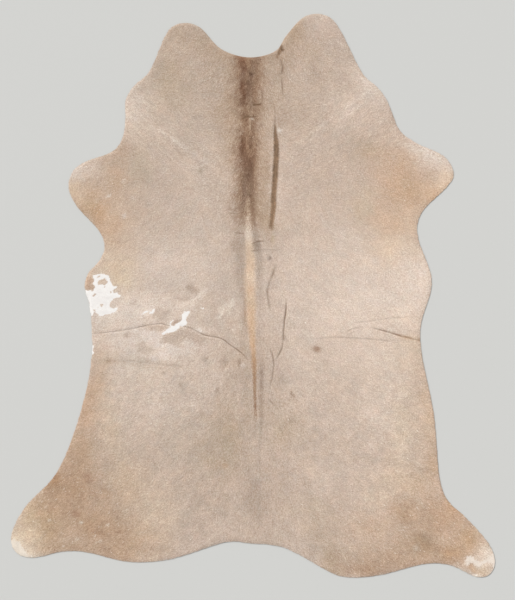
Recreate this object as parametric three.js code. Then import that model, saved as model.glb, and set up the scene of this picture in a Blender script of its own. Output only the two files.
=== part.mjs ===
// Cowhide rug: one tanned cowhide with its hair on, laid flat with the hair up.
//
// Millimetres, +Z up. +Y runs along the spine to the neck, and +X is the flank on the right seen from above.
// The origin is the middle of the hide's bounding box, on the floor.
// The solid holds the leather and the laid hair: its underside is flat, its top is the face of the coat.

import * as THREE from 'three';

// Driving sizes
const LENGTH = 2130;          // from the neck lobes to the hind legs
const WIDTH = 1830;           // across the tips of the hind legs
const BACK_THICKNESS = 6;     // leather and hair on the spine, where both are thickest
const FLANK_THICKNESS = 4;    // leather and hair far out on the flanks and legs
const BACK_SPREAD = 420;      // distance from the spine at which most of the extra thickness is gone

// Spacing of the points that carry the shape
const CURVE_DIVISIONS = 20;   // steps from one drawn point to the next when a curve's length is measured
const EDGE_STEP = 23;         // along the edge
const CREASE_STEP = 20;       // along a crease
const FIELD_STEP = 60;        // in the open coat
const FIELD_STAGGER = 3;      // wander of the open points, so that no four of them lie on one circle
const FIELD_CLEARANCE = 20;   // the least distance from an open point to a point of a crease
const EDGE_CLEARANCE = 17;    // the least distance from any inner point to the innermost ring of the edge
const CREASE_CLEARANCE = 0.5; // the least distance between points of two creases, as a share of the half width
const CREASE_FADE = 40;       // length over which a crease runs out at its two ends

// The edge of the hide seen from above, clockwise from the notch between the two neck lobes
const OUTLINE = [
  // right neck lobe, down to the right shoulder
  { x: -9, y: 901 }, { x: 88, y: 928 }, { x: 122, y: 979 }, { x: 203, y: 1059 },
  { x: 288, y: 1052 }, { x: 417, y: 832 }, { x: 468, y: 787 }, { x: 501, y: 744 },
  // right foreleg
  { x: 553, y: 624 }, { x: 611, y: 578 }, { x: 724, y: 522 }, { x: 755, y: 452 },
  { x: 640, y: 321 }, { x: 618, y: 266 },
  // right flank: the belly bulge and the waist
  { x: 624, y: 208 }, { x: 673, y: 54 }, { x: 629, y: -140 }, { x: 681, y: -453 },
  // right hind leg
  { x: 708, y: -718 }, { x: 738, y: -781 }, { x: 798, y: -837 }, { x: 893, y: -946 },
  { x: 912, y: -996 }, { x: 907, y: -1035 }, { x: 882, y: -1061 }, { x: 845, y: -1063 },
  { x: 738, y: -1017 }, { x: 651, y: -1014 },
  // rump, from right to left
  { x: 491, y: -1053 }, { x: 398, y: -1065 }, { x: 320, y: -1057 }, { x: 113, y: -951 },
  { x: -16, y: -935 }, { x: -88, y: -929 }, { x: -320, y: -997 }, { x: -465, y: -1006 },
  // left hind leg
  { x: -639, y: -968 }, { x: -711, y: -966 }, { x: -845, y: -991 }, { x: -893, y: -971 },
  { x: -914, y: -922 }, { x: -861, y: -803 }, { x: -752, y: -687 }, { x: -684, y: -546 },
  // left flank: the waist and the belly bulge
  { x: -611, y: -258 }, { x: -615, y: -47 }, { x: -634, y: 30 }, { x: -622, y: 83 },
  { x: -582, y: 128 }, { x: -560, y: 177 },
  // left foreleg
  { x: -572, y: 232 }, { x: -669, y: 345 }, { x: -695, y: 408 }, { x: -682, y: 465 },
  { x: -643, y: 500 }, { x: -525, y: 548 }, { x: -492, y: 597 },
  // left shoulder and neck lobe
  { x: -481, y: 669 }, { x: -479, y: 741 }, { x: -448, y: 793 }, { x: -396, y: 839 },
  { x: -310, y: 1011 }, { x: -255, y: 1031 }, { x: -204, y: 1016 }, { x: -118, y: 931 },
];

// The section of the edge, from the floor up. Height is a share of the thickness there.
const RIM = [
  { ring: 'flesh side, cut back a little', inset: 1.5, height: 0 },
  { ring: 'cut edge of the leather', inset: 0, height: 0.35 },
  { ring: 'hair lying over the edge', inset: 3.5, height: 0.8 },
  { ring: 'full coat', inset: 12, height: 1 },
];

// Creases: soft troughs where the hair parts, with the coat raised a little on both sides
const CREASES = [
  {
    name: 'long fold beside the spine', halfWidth: 9, depth: 1.4,
    path: [
      { x: 88, y: 690 }, { x: 84, y: 640 }, { x: 87, y: 570 }, { x: 84, y: 500 },
      { x: 80, y: 400 }, { x: 74, y: 300 }, { x: 70, y: 240 },
    ],
  },
  {
    name: 'short fold on the back', halfWidth: 5, depth: 1,
    path: [
      { x: 126, y: -36 }, { x: 121, y: -94 }, { x: 116, y: -175 }, { x: 112, y: -200 }, { x: 95, y: -228 },
    ],
  },
  {
    name: 'short fold on the loin', halfWidth: 5, depth: 0.8,
    path: [{ x: 72, y: -240 }, { x: 78, y: -270 }, { x: 72, y: -320 }],
  },
  {
    name: 'left waist fold', halfWidth: 6, depth: 1.2,
    path: [
      { x: -612, y: -144 }, { x: -540, y: -138 }, { x: -460, y: -126 }, { x: -416, y: -116 },
      { x: -354, y: -109 }, { x: -315, y: -114 }, { x: -247, y: -122 }, { x: -209, y: -135 },
      { x: -175, y: -150 }, { x: -122, y: -162 }, { x: -88, y: -185 }, { x: -38, y: -217 },
    ],
  },
  {
    name: 'left waist hollow', halfWidth: 14, depth: 0.6,
    path: [
      { x: -556, y: -249 }, { x: -469, y: -247 }, { x: -393, y: -257 }, { x: -306, y: -267 },
      { x: -247, y: -261 },
    ],
  },
  {
    name: 'right waist fold', halfWidth: 6, depth: 1.2,
    path: [
      { x: 375, y: -124 }, { x: 427, y: -117 }, { x: 488, y: -135 }, { x: 559, y: -155 },
      { x: 600, y: -163 }, { x: 634, y: -170 },
    ],
  },
  {
    name: 'right waist hollow', halfWidth: 12, depth: 0.5,
    path: [{ x: 235, y: -163 }, { x: 305, y: -160 }, { x: 381, y: -168 }, { x: 455, y: -182 }],
  },
];

// Section of a crease. Offset is a share of the half width, lift a share of the depth.
const CREASE_SECTION = [
  { offset: 0, lift: -1 },
  { offset: 0.6, lift: -0.45 },
  { offset: 1.3, lift: 0.25 },
  { offset: 2.2, lift: 0 },
];

// Outline and creases, fitted to the driving sizes

function smoothCurve(points, closed) {
  const curve = new THREE.CatmullRomCurve3(
    points.map(({ x, y }) => new THREE.Vector3(x, y, 0)), closed, 'centripetal');
  curve.arcLengthDivisions = CURVE_DIVISIONS * points.length;
  return curve;
}

const evenPoints = (curve, step) => curve.getSpacedPoints(Math.round(curve.getLength() / step));

const drawnBox = new THREE.Box3().setFromPoints(evenPoints(smoothCurve(OUTLINE, true), 1));
const drawnSize = drawnBox.getSize(new THREE.Vector3());
const drawnCentre = drawnBox.getCenter(new THREE.Vector3());

function fitted({ x, y }) {
  return {
    x: (x - drawnCentre.x) * WIDTH / drawnSize.x,
    y: (y - drawnCentre.y) * LENGTH / drawnSize.y,
  };
}

// A closed curve's last even point repeats its first one, so it is dropped
const edge = evenPoints(smoothCurve(OUTLINE.map(fitted), true), EDGE_STEP).slice(0, -1).reverse();

const creases = CREASES.map((crease) => {
  const curve = smoothCurve(crease.path.map(fitted), false);
  return { ...crease, curve, length: curve.getLength(), stations: evenPoints(curve, CREASE_STEP) };
});

// Height of the coat

function creaseLift(crease, x, y) {
  const { length, halfWidth, depth, stations } = crease;
  const place = new THREE.Vector3(x, y, 0);
  let nearest = { distance: Infinity, along: 0 };
  for (let i = 0; i + 1 < stations.length; i++) {
    const piece = new THREE.Line3(stations[i], stations[i + 1]);
    const share = piece.closestPointToPointParameter(place, true);
    const distance = piece.at(share, new THREE.Vector3()).distanceTo(place);
    if (distance < nearest.distance) nearest = { distance, along: (i + share) / (stations.length - 1) };
  }
  const offset = nearest.distance / halfWidth;
  const row = CREASE_SECTION.findIndex((next) => next.offset > offset);
  if (row < 1) return 0;
  const [inner, outer] = [CREASE_SECTION[row - 1], CREASE_SECTION[row]];
  const lift = THREE.MathUtils.mapLinear(offset, inner.offset, outer.offset, inner.lift, outer.lift);
  const toEnd = length * Math.min(nearest.along, 1 - nearest.along);
  return depth * lift * THREE.MathUtils.smoothstep(toEnd, 0, CREASE_FADE);
}

function coatHeight(x, y) {
  const back = Math.exp(-((x / BACK_SPREAD) ** 2));
  const coat = THREE.MathUtils.lerp(FLANK_THICKNESS, BACK_THICKNESS, back);
  return creases.reduce((height, crease) => height + creaseLift(crease, x, y), coat);
}

// Rings of the edge

function ringPoints(inset) {
  return edge.map((point, i) => {
    const before = edge.at(i - 1);
    const after = edge[(i + 1) % edge.length];
    const inward = new THREE.Vector3(before.y - after.y, after.x - before.x, 0).normalize();
    return point.clone().addScaledVector(inward, inset);
  });
}

const rings = RIM.map(({ inset, height }) => {
  const points = ringPoints(inset);
  for (const point of points) point.z = height * coatHeight(point.x, point.y);
  return points;
});
const innerRing = rings.at(-1);

// Points inside the innermost ring

function isInside(x, y) {
  let inside = false;
  innerRing.forEach((a, i) => {
    const b = innerRing[(i + 1) % innerRing.length];
    if ((a.y > y) !== (b.y > y) && x < a.x + (b.x - a.x) * (y - a.y) / (b.y - a.y)) inside = !inside;
  });
  return inside;
}

const isClear = (x, y, points, clearance) => points.every((p) => Math.hypot(p.x - x, p.y - y) > clearance);

const isOpen = (x, y) => isInside(x, y) && isClear(x, y, innerRing, EDGE_CLEARANCE);

function creasePoints({ curve, halfWidth, stations }) {
  const offsets = CREASE_SECTION.flatMap(({ offset }) => (offset ? [-offset, offset] : [0]));
  return stations.flatMap((station, i) => {
    const tangent = curve.getTangentAt(i / (stations.length - 1));
    return offsets.map((offset) => ({
      x: station.x - tangent.y * offset * halfWidth,
      y: station.y + tangent.x * offset * halfWidth,
    }));
  });
}

// Rows of points in a triangular pattern, each moved a little by waves that never line up
function fieldPoints(taken) {
  const points = [];
  const rowStep = FIELD_STEP * Math.sqrt(3) / 2;
  const rows = Math.floor(LENGTH / 2 / rowStep);
  const columns = Math.ceil(WIDTH / 2 / FIELD_STEP);
  for (let row = -rows; row <= rows; row++) {
    for (let column = -columns; column <= columns; column++) {
      const x = (column + (row % 2) / 2) * FIELD_STEP + FIELD_STAGGER * Math.sin(5 * row + 3 * column);
      const y = row * rowStep + FIELD_STAGGER * Math.cos(2 * row + 7 * column);
      if (isOpen(x, y) && isClear(x, y, taken, FIELD_CLEARANCE)) points.push({ x, y });
    }
  }
  return points;
}

// Points of one crease give way to those of the creases listed before it
function innerPoints() {
  const points = [];
  for (const crease of creases) {
    const gap = crease.halfWidth * CREASE_CLEARANCE;
    const open = creasePoints(crease).filter(({ x, y }) => isOpen(x, y) && isClear(x, y, points, gap));
    points.push(...open);
  }
  points.push(...fieldPoints(points));
  return points.map(({ x, y }) => new THREE.Vector3(x, y, coatHeight(x, y)));
}

// Delaunay triangles over points seen from above: each new point removes the triangles whose circle holds it,
// and joins the edge of the hole that they leave. The first triangle is so large that it holds every point.

const FAR = 20 * LENGTH;

function circleTriangle(points, a, b, c) {
  const [p, q, r] = [points[a], points[b], points[c]];
  const [qx, qy, rx, ry] = [q.x - p.x, q.y - p.y, r.x - p.x, r.y - p.y];
  const twiceArea = 2 * (qx * ry - qy * rx);
  const [qq, rr] = [qx * qx + qy * qy, rx * rx + ry * ry];
  const cx = (ry * qq - qy * rr) / twiceArea;
  const cy = (qx * rr - rx * qq) / twiceArea;
  return { corners: [a, b, c], cx: p.x + cx, cy: p.y + cy, radiusSquared: cx * cx + cy * cy };
}

function delaunay(points) {
  const all = [...points, { x: -FAR, y: -FAR }, { x: FAR, y: -FAR }, { x: 0, y: FAR }];
  const count = points.length;
  let triangles = [circleTriangle(all, count, count + 1, count + 2)];
  points.forEach(({ x, y }, index) => {
    const hole = new Map();
    const kept = [];
    for (const triangle of triangles) {
      if ((x - triangle.cx) ** 2 + (y - triangle.cy) ** 2 > triangle.radiusSquared) {
        kept.push(triangle);
        continue;
      }
      triangle.corners.forEach((from, i) => {
        const to = triangle.corners[(i + 1) % 3];
        if (!hole.delete(`${to} ${from}`)) hole.set(`${from} ${to}`, [from, to]);
      });
    }
    for (const [from, to] of hole.values()) kept.push(circleTriangle(all, from, to, index));
    triangles = kept;
  });
  return triangles.map(({ corners }) => corners).filter((corners) => Math.max(...corners) < count);
}

// The closed skin: flat underside, sides ring by ring, then the coat

function underside() {
  return THREE.ShapeUtils.triangulateShape(rings[0], []).map(([a, b, c]) => [a, c, b]);
}

function sides() {
  const count = edge.length;
  const faces = [];
  for (let ring = 0; ring + 1 < rings.length; ring++) {
    for (let i = 0; i < count; i++) {
      const next = (i + 1) % count;
      const [lower, upper] = [ring * count, (ring + 1) * count];
      faces.push([lower + i, lower + next, upper + next], [lower + i, upper + next, upper + i]);
    }
  }
  return faces;
}

function coat(field) {
  const points = [...innerRing, ...field];
  const first = (rings.length - 1) * edge.length;
  return delaunay(points)
    .filter(([a, b, c]) => isInside(
      (points[a].x + points[b].x + points[c].x) / 3, (points[a].y + points[b].y + points[c].y) / 3))
    .map((corners) => corners.map((corner) => first + corner));
}

function makeHide() {
  const field = innerPoints();
  const vertices = [...rings.flat(), ...field];
  const geometry = new THREE.BufferGeometry().setFromPoints(vertices);
  geometry.setIndex([...underside(), ...sides(), ...coat(field)].flat());
  geometry.computeVertexNormals();
  const material = new THREE.MeshStandardMaterial({ color: 0xc3aa96, roughness: 0.75, metalness: 0 });
  const mesh = new THREE.Mesh(geometry, material);
  mesh.name = 'hide';
  return mesh;
}

const rug = new THREE.Group();
rug.add(makeHide());

export default rug;
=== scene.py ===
# Cowhide rug: one tanned cowhide with its hair on, laid flat with the hair up.
#
# Sizes and places are in millimetres and become metres when a mesh is made.
# +Y runs along the spine to the neck, +X is the flank on the right seen from above, and z = 0 is the floor.
# Tones are sRGB steps from 0 to 255, and an amount is the share by which a place goes to its tone.

import math

import bpy
import numpy as np
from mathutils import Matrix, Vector
from mathutils.geometry import delaunay_2d_cdt


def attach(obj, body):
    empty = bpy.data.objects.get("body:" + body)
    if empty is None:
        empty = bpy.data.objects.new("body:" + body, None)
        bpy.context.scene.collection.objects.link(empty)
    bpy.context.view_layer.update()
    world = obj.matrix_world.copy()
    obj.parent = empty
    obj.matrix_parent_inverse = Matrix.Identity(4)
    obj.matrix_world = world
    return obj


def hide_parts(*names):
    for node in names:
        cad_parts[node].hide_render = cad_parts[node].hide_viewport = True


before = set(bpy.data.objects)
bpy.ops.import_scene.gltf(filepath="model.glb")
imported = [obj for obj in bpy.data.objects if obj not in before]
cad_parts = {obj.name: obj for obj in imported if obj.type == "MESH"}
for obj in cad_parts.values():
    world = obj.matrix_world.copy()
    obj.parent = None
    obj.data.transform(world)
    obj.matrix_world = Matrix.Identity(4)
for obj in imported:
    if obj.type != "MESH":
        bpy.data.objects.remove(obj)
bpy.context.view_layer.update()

MM = 0.001

# Thickness of the hide
LEATHER = 2.0            # the tanned skin under the hair
LEATHER_GAP = 0.05       # between the skin and the root mat of the hair
BACK_THICKNESS = 6.0     # leather and hair on the spine, where both are thickest
FLANK_THICKNESS = 4.0    # leather and hair far out on the flanks and legs
BACK_SPREAD = 420        # distance from the spine at which most of the extra thickness is gone
HAIR_RELIEF = 0.9        # how far the tips of the locks stand over the root mat
THINNEST_MAT = 0.15      # of the root mat, under a crease or at the edge
LOWEST_LOCK = 0.4        # height under which no lock reaches

# Sides of the leather and the root mat, from the edge of the solid
FOOT_INSET = 1.5         # of the leather's underside
CUT_BULGE = 1.2          # of the leather's cut edge past its underside
LEATHER_TOP_BULGE = 1.0  # of the leather's top past its underside
CUT_LOW, CUT_HIGH = 0.5, LEATHER - 0.3    # heights between which the cut edge is upright
MAT_INSET = 1.4          # of the root mat's underside
MAT_BULGE = 1.1          # of its side past its underside
MAT_TOP_BULGE = 0.6      # of its top past its underside
MAT_SIDE = 0.3           # height of its side

# Spacing of the points of the leather and the root mat
EDGE_STEP = 4.5
CREASE_STEP = 5.0
FIELD_STEP = 6.7
MARK_STEP = 3.2
LEATHER_STEP = 30
EDGE_ROWS = (3.0, 5.5, 9.0, 13.0)    # how far in the rows of points along the edge lie

# Hair
LOCK_COUNT = 392_000
LOCK_LENGTH, LENGTH_SHARES = 13.0, (0.7, 1.25)
LOCK_WIDTH, WIDTH_SHARES = 2.6, (0.7, 1.3)
STRIPE_LENGTH = 0.8      # share of their length that the locks have in the dark stripe
LOCK_TURN = 0.2          # by which the locks stray from the lie of the hair, in radians
ROOT_INSET = 0.6         # of the roots nearest to the edge
ROOT_DEPTH = 0.35        # of a lock's root below the root mat
SIDE_LIFT = 0.12         # of a lock's two sides over the root mat
TIP_SHARES = (0.6, 1.5)  # height of a lock's tip, as shares of HAIR_RELIEF
WIDEST = 0.45            # share of the length at which a lock is widest
OVERHANG = 3.0           # how far a tip may reach past the edge
DROOP = 8.0              # distance past the edge at which such a tip would touch the floor
FRINGE_STEP = 1.3        # between the locks that line the edge
FRINGE_INSET, FRINGE_SHARES = (2, 8), (0.45, 0.8)    # how far in their roots lie, and shares of LOCK_LENGTH

# Colours of the hair
COLOUR_STRAY = 2.5       # how far a lock's colour strays from its place in the pattern
LOCK_SHADES = np.array([0.92, 1.0, 1.05, 1.0])       # brightness at a lock's root, side, tip and other side
LOCK_SPREAD = 0.06       # by which the locks differ in brightness where the coat is calm
SHADE_LIMITS, MARK_SHADE_LIMITS = (0.6, 1.45), (0.6, 1.5)    # of a lock's brightness in the coat and on marks
GRAIN_POWERS = (0.74, 1.0, 1.12)                     # how much red, green and blue follow a lock's brightness
BROWN_GRAIN, WHITE_GRAIN = 1.6, 0.2                  # share of the locks' grain that shows on marks
HAIR_BALANCE = np.array([1.036, 1.032, 1.028])       # makes up for the shadows between the locks
MAT_SHADE, MARKED_MAT_SHADE = 0.94, 0.97             # painted shade: the root mat, seen between the locks, is painted a little darker than the hair on it
RIM_PAINTED_LIGHT = np.array([0.09, 0.1, 0.12])               # painted light: how much paler the hair is painted at the edges that face away from the lamp
RIM_PAINTED_LIGHT_SPAN = (2, 9)        # how far in the painted light is full, and where it has faded
FLECKS, LEG_FLECKS = 0.002, 0.008                    # share of locks that are pale flecks, and more on legs
FLECK_AMOUNTS = (0.3, 0.8)
FOLD_LIGHT, FOLD_DARKENING, FOLD_SPAN = 0.14, 0.34, (270, 600)    # the long fold darkens towards the neck
NAPE_LIGHT, NAPE_SPAN = 0.2, (700, 900)              # the fold on the nape is paler again

# Seeds of the random draws
LEATHER_SEED, MARK_SEED, FIELD_SEED, LOCK_SEED, HAIR_SEED = 21, 22, 23, 33, 35
CREASE_SEED = 40         # of the first crease's waves

TONES = {
    "coat": (202, 182, 166),
    # painted shade in the creases and wrinkles
    "crease": (117, 89, 66),
    "white": (248, 244, 240),
    "toe cream": (236, 224, 209),
    "toe white": (234, 221, 208),
    # pale hairs, and the painted highlights of the streaks
    "fleck": (240, 230, 217),
    "fold brown": (139, 112, 88),
    "rust": (178, 136, 96),
    "suede dark": (205, 184, 160),
    "suede light": (222, 205, 184),
    "floor": (205, 205, 202),
}


def table(columns, rows):
    """Rows of cells as dicts under the names of their columns. A row may leave out its last cells."""
    names = columns.split()
    return [dict(zip(names, row)) for row in rows]


def stations(rows):
    """Places along a band. Half is its half width there, or its half widths to the left and right."""
    return table("y x half tone amount", rows)


# Soft areas of the coat, laid over one another in this order.
# Reach is the half width of each area along and across its axis, which is turned by this many degrees.
AREAS = table("x y reach tone amount turn", [
    # wide grounds
    (-320, -60, (290, 330), (219, 202, 187), 0.55),
    (300, -60, (220, 260), (213, 195, 180), 0.4),
    (120, -760, (170, 190), (186, 164, 146), 0.5),
    (-400, -500, (120, 120), (213, 194, 178), 0.5),
    # neck and shoulders
    (0, 900, (380, 220), (189, 168, 150), 0.75),
    (-160, 945, (110, 55), (188, 165, 142), 0.55, -40),
    (-320, 800, (70, 110), (192, 172, 148), 0.55),
    (-295, 988, (65, 42), (189, 165, 140), 0.4),
    (235, 915, (45, 50), (189, 167, 146), 0.4),
    (-440, 700, (60, 110), (221, 204, 189), 0.9),
    (-260, 640, (130, 100), (197, 178, 160), 0.5),
    (-105, 700, (48, 280), (184, 160, 138), 0.75),
    (-78, 610, (30, 120), (178, 149, 123), 0.4),
    (-105, 437, (36, 42), (216, 198, 182), 0.5),
    (270, 1010, (80, 60), (199, 179, 165), 0.6),
    (140, 950, (50, 70), (184, 161, 141), 0.6, -30),
    (75, 790, (55, 180), (182, 159, 138), 0.65),
    (440, 800, (50, 90), (224, 207, 192), 0.85, 35),
    (390, 690, (120, 60), (211, 192, 177), 0.7),
    (335, 748, (50, 50), (221, 202, 187), 0.5),
    (290, 770, (70, 60), (197, 177, 158), 0.15),
    (-190, 470, (80, 150), (210, 191, 175), 0.7),
    (160, 470, (60, 160), (203, 183, 167), 0.6),
    (300, 400, (140, 110), (199, 178, 161), 0.5),
    (165, 685, (90, 90), (190, 169, 151), 0.8),
    (150, 1000, (45, 55), (177, 153, 129), 0.8, -20),
    (385, 215, (95, 80), (217, 198, 182), 0.7),
    (-370, 620, (120, 70), (210, 191, 175), 0.6),
    (-180, 130, (90, 100), (216, 198, 183), 0.7),
    (52, 912, (60, 22), (166, 142, 122), 0.5),
    (92, 905, (18, 18), (166, 142, 120), 0.5),
    (108, 700, (34, 52), (180, 160, 144), 0.55),
    (-134, 790, (28, 60), (203, 183, 166), 0.4),
    (-130, 566, (30, 40), (213, 194, 177), 0.5),
    (-400, 283, (70, 55), (210, 189, 170), 0.5),
    # right foreleg
    (430, 550, (80, 50), (188, 166, 143), 0.65),
    (550, 460, (100, 130), (203, 173, 147), 0.9),
    (600, 385, (70, 55), (199, 168, 138), 0.7),
    (682, 530, (98, 36), (228, 212, 198), 0.95, -28),
    (735, 440, (40, 50), (224, 201, 180), 0.75),
    (750, 405, (50, 55), (224, 199, 175), 0.85),
    (690, 365, (50, 45), (219, 184, 150), 0.8),
    (595, 265, (60, 50), (219, 190, 160), 0.6),
    (610, 562, (55, 26), (214, 197, 181), 0.55, -20),
    (510, 280, (90, 80), (208, 178, 152), 0.75),
    (420, 330, (50, 80), (200, 179, 155), 0.6),
    (540, 165, (110, 55), (216, 191, 165), 0.8),
    (585, 372, (60, 45), (192, 163, 137), 0.45),
    (500, 455, (50, 55), (197, 169, 148), 0.4),
    # left foreleg
    (-655, 478, (60, 42), (226, 208, 193), 0.95, 15),
    (-605, 340, (60, 100), (197, 167, 136), 0.85, 20),
    (-515, 440, (55, 110), (196, 168, 142), 0.75),
    (-425, 480, (45, 90), (194, 174, 151), 0.6),
    (-535, 255, (75, 90), (209, 180, 154), 0.85),
    (-480, 130, (60, 80), (213, 192, 168), 0.7),
    (-675, 405, (35, 50), (216, 191, 166), 0.8),
    (-662, 390, (34, 42), (221, 196, 171), 0.55),
    (-672, 455, (50, 38), (222, 206, 191), 0.55, 20),
    (-492, 550, (35, 45), (182, 156, 134), 0.45),
    # flanks and waist
    (430, -30, (210, 170), (226, 208, 193), 0.85),
    (415, 12, (55, 34), (229, 212, 197), 0.45),
    (150, -100, (34, 60), (221, 203, 187), 0.45),
    (150, -245, (40, 55), (219, 201, 186), 0.45),
    (-133, -66, (36, 44), (188, 169, 154), 0.5),
    (190, 280, (70, 45), (194, 174, 157), 0.3),
    (610, 60, (90, 110), (227, 209, 194), 0.95),
    (190, 90, (130, 140), (212, 194, 180), 0.55),
    (-350, 110, (150, 65), (221, 203, 189), 0.8),
    (-450, -60, (150, 65), (232, 216, 202), 0.9),
    (-330, -190, (140, 60), (230, 215, 203), 0.9),
    (-560, -165, (90, 65), (221, 204, 190), 0.95),
    (-450, -285, (110, 60), (224, 207, 192), 0.8),
    (-530, 105, (75, 55), (222, 200, 176), 0.8),
    (-626, 50, (28, 50), (217, 189, 163), 0.85),
    (-500, 60, (45, 40), (221, 202, 176), 0.7),
    (520, -250, (90, 90), (221, 203, 187), 0.7),
    (590, -80, (70, 60), (226, 207, 190), 0.6),
    (600, -210, (50, 60), (216, 193, 169), 0.7),
    (-535, -84, (95, 38), (229, 216, 204), 0.5, 5),
    (-490, -180, (80, 38), (228, 211, 198), 0.55),
    (-318, -176, (60, 36), (236, 220, 207), 0.55),
    (-170, -235, (110, 75), (217, 199, 184), 0.4, -15),
    (-222, 14, (60, 50), (215, 197, 182), 0.4),
    # along the spine
    (-110, 20, (60, 160), (200, 181, 166), 0.5),
    (-140, -210, (70, 70), (214, 195, 180), 0.6),
    (110, 270, (80, 60), (197, 176, 158), 0.4),
    (40, -460, (90, 60), (186, 166, 148), 0.5),
    (-130, -630, (70, 60), (184, 161, 138), 0.6),
    (50, -620, (50, 60), (185, 164, 148), 0.4),
    (-70, -260, (80, 130), (191, 171, 154), 0.65),
    (80, -320, (60, 130), (194, 173, 156), 0.6),
    (-100, -540, (70, 110), (186, 165, 143), 0.85),
    (15, -780, (40, 90), (180, 160, 144), 0.7),
    (-30, -880, (45, 35), (187, 168, 152), 0.45),
    # left side and hind leg
    (-400, -370, (110, 90), (213, 195, 179), 0.75),
    (-250, -560, (130, 90), (191, 172, 154), 0.65),
    (-300, -430, (80, 120), (209, 190, 174), 0.55),
    (-540, -500, (45, 160), (206, 185, 161), 0.65, 8),
    (-620, -420, (45, 200), (202, 172, 146), 0.9, -12),
    (-470, -720, (80, 100), (204, 179, 153), 0.7),
    (-670, -720, (110, 120), (187, 155, 127), 0.9),
    (-600, -870, (160, 90), (188, 157, 129), 0.9),
    (-470, -940, (110, 60), (189, 158, 130), 0.75),
    (-400, -892, (50, 42), (198, 169, 138), 0.4),
    (-490, -985, (90, 30), (184, 152, 122), 0.5),
    (-780, -880, (70, 90), (191, 161, 129), 0.85),
    (-848, -835, (44, 70), (204, 179, 150), 0.9, -20),
    (-812, -935, (34, 60), (214, 190, 163), 0.5),
    (-880, -930, (62, 72), (228, 208, 184), 0.95),
    (-856, -990, (40, 30), (238, 224, 208), 0.6),
    (-655, -590, (60, 70), (192, 162, 134), 0.75),
    (-765, -715, (50, 50), (180, 146, 115), 0.85),
    (-355, -815, (90, 110), (212, 190, 168), 0.75),
    (-150, -760, (110, 90), (191, 170, 152), 0.5),
    (-90, -885, (80, 40), (204, 184, 168), 0.5),
    (-240, -900, (70, 50), (193, 172, 155), 0.4),
    (-350, -390, (140, 75), (220, 202, 187), 0.42, 10),
    (-415, -986, (75, 26), (207, 184, 163), 0.5),
    (-695, -962, (110, 24), (181, 150, 120), 0.55),
    (-558, -974, (45, 22), (178, 148, 124), 0.5),
    (-762, -800, (60, 45), (184, 149, 118), 0.4),
    # right side and hind leg
    (470, -400, (110, 160), (216, 196, 179), 0.7),
    (570, -520, (60, 160), (213, 192, 169), 0.7),
    (660, -440, (35, 170), (209, 182, 157), 0.85, 6),
    (680, -630, (45, 80), (198, 169, 144), 0.85),
    (590, -710, (90, 60), (197, 169, 143), 0.75),
    (480, -770, (80, 45), (215, 193, 172), 0.7),
    (130, -500, (60, 50), (188, 167, 145), 0.65),
    (290, -680, (120, 70), (209, 189, 173), 0.55),
    (450, -890, (90, 60), (199, 171, 147), 0.8),
    (570, -820, (60, 60), (185, 156, 130), 0.85),
    (710, -850, (70, 60), (199, 167, 141), 0.9),
    (635, -935, (75, 60), (173, 144, 115), 0.9),
    (530, -990, (90, 60), (186, 157, 132), 0.85),
    (430, -1035, (100, 40), (174, 145, 121), 0.9),
    (300, -990, (60, 60), (180, 157, 134), 0.85),
    (270, -890, (90, 60), (184, 163, 143), 0.6),
    (820, -920, (60, 60), (194, 161, 128), 0.9),
    (745, -980, (75, 45), (184, 149, 117), 0.9),
    (765, -775, (50, 80), (191, 155, 122), 0.95),
    (768, -710, (40, 30), (186, 148, 113), 0.5),
    (412, -985, (50, 40), (186, 156, 127), 0.4),
    (500, -440, (70, 55), (221, 200, 183), 0.45),
    (320, -620, (65, 48), (190, 171, 155), 0.45),
    (524, -684, (65, 40), (221, 200, 179), 0.45),
    (672, -792, (45, 62), (186, 153, 123), 0.5, 20),
    (640, -846, (50, 30), (178, 147, 119), 0.35),
    (622, -1012, (70, 22), (180, 148, 122), 0.5),
    (232, -806, (60, 50), (191, 169, 145), 0.4),
    (880, -1000, (40, 60), (224, 205, 186), 0.95),
    (860, -1045, (40, 25), (209, 184, 159), 0.8),
    (880, -965, (24, 30), (222, 204, 186), 0.6),
])

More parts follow.
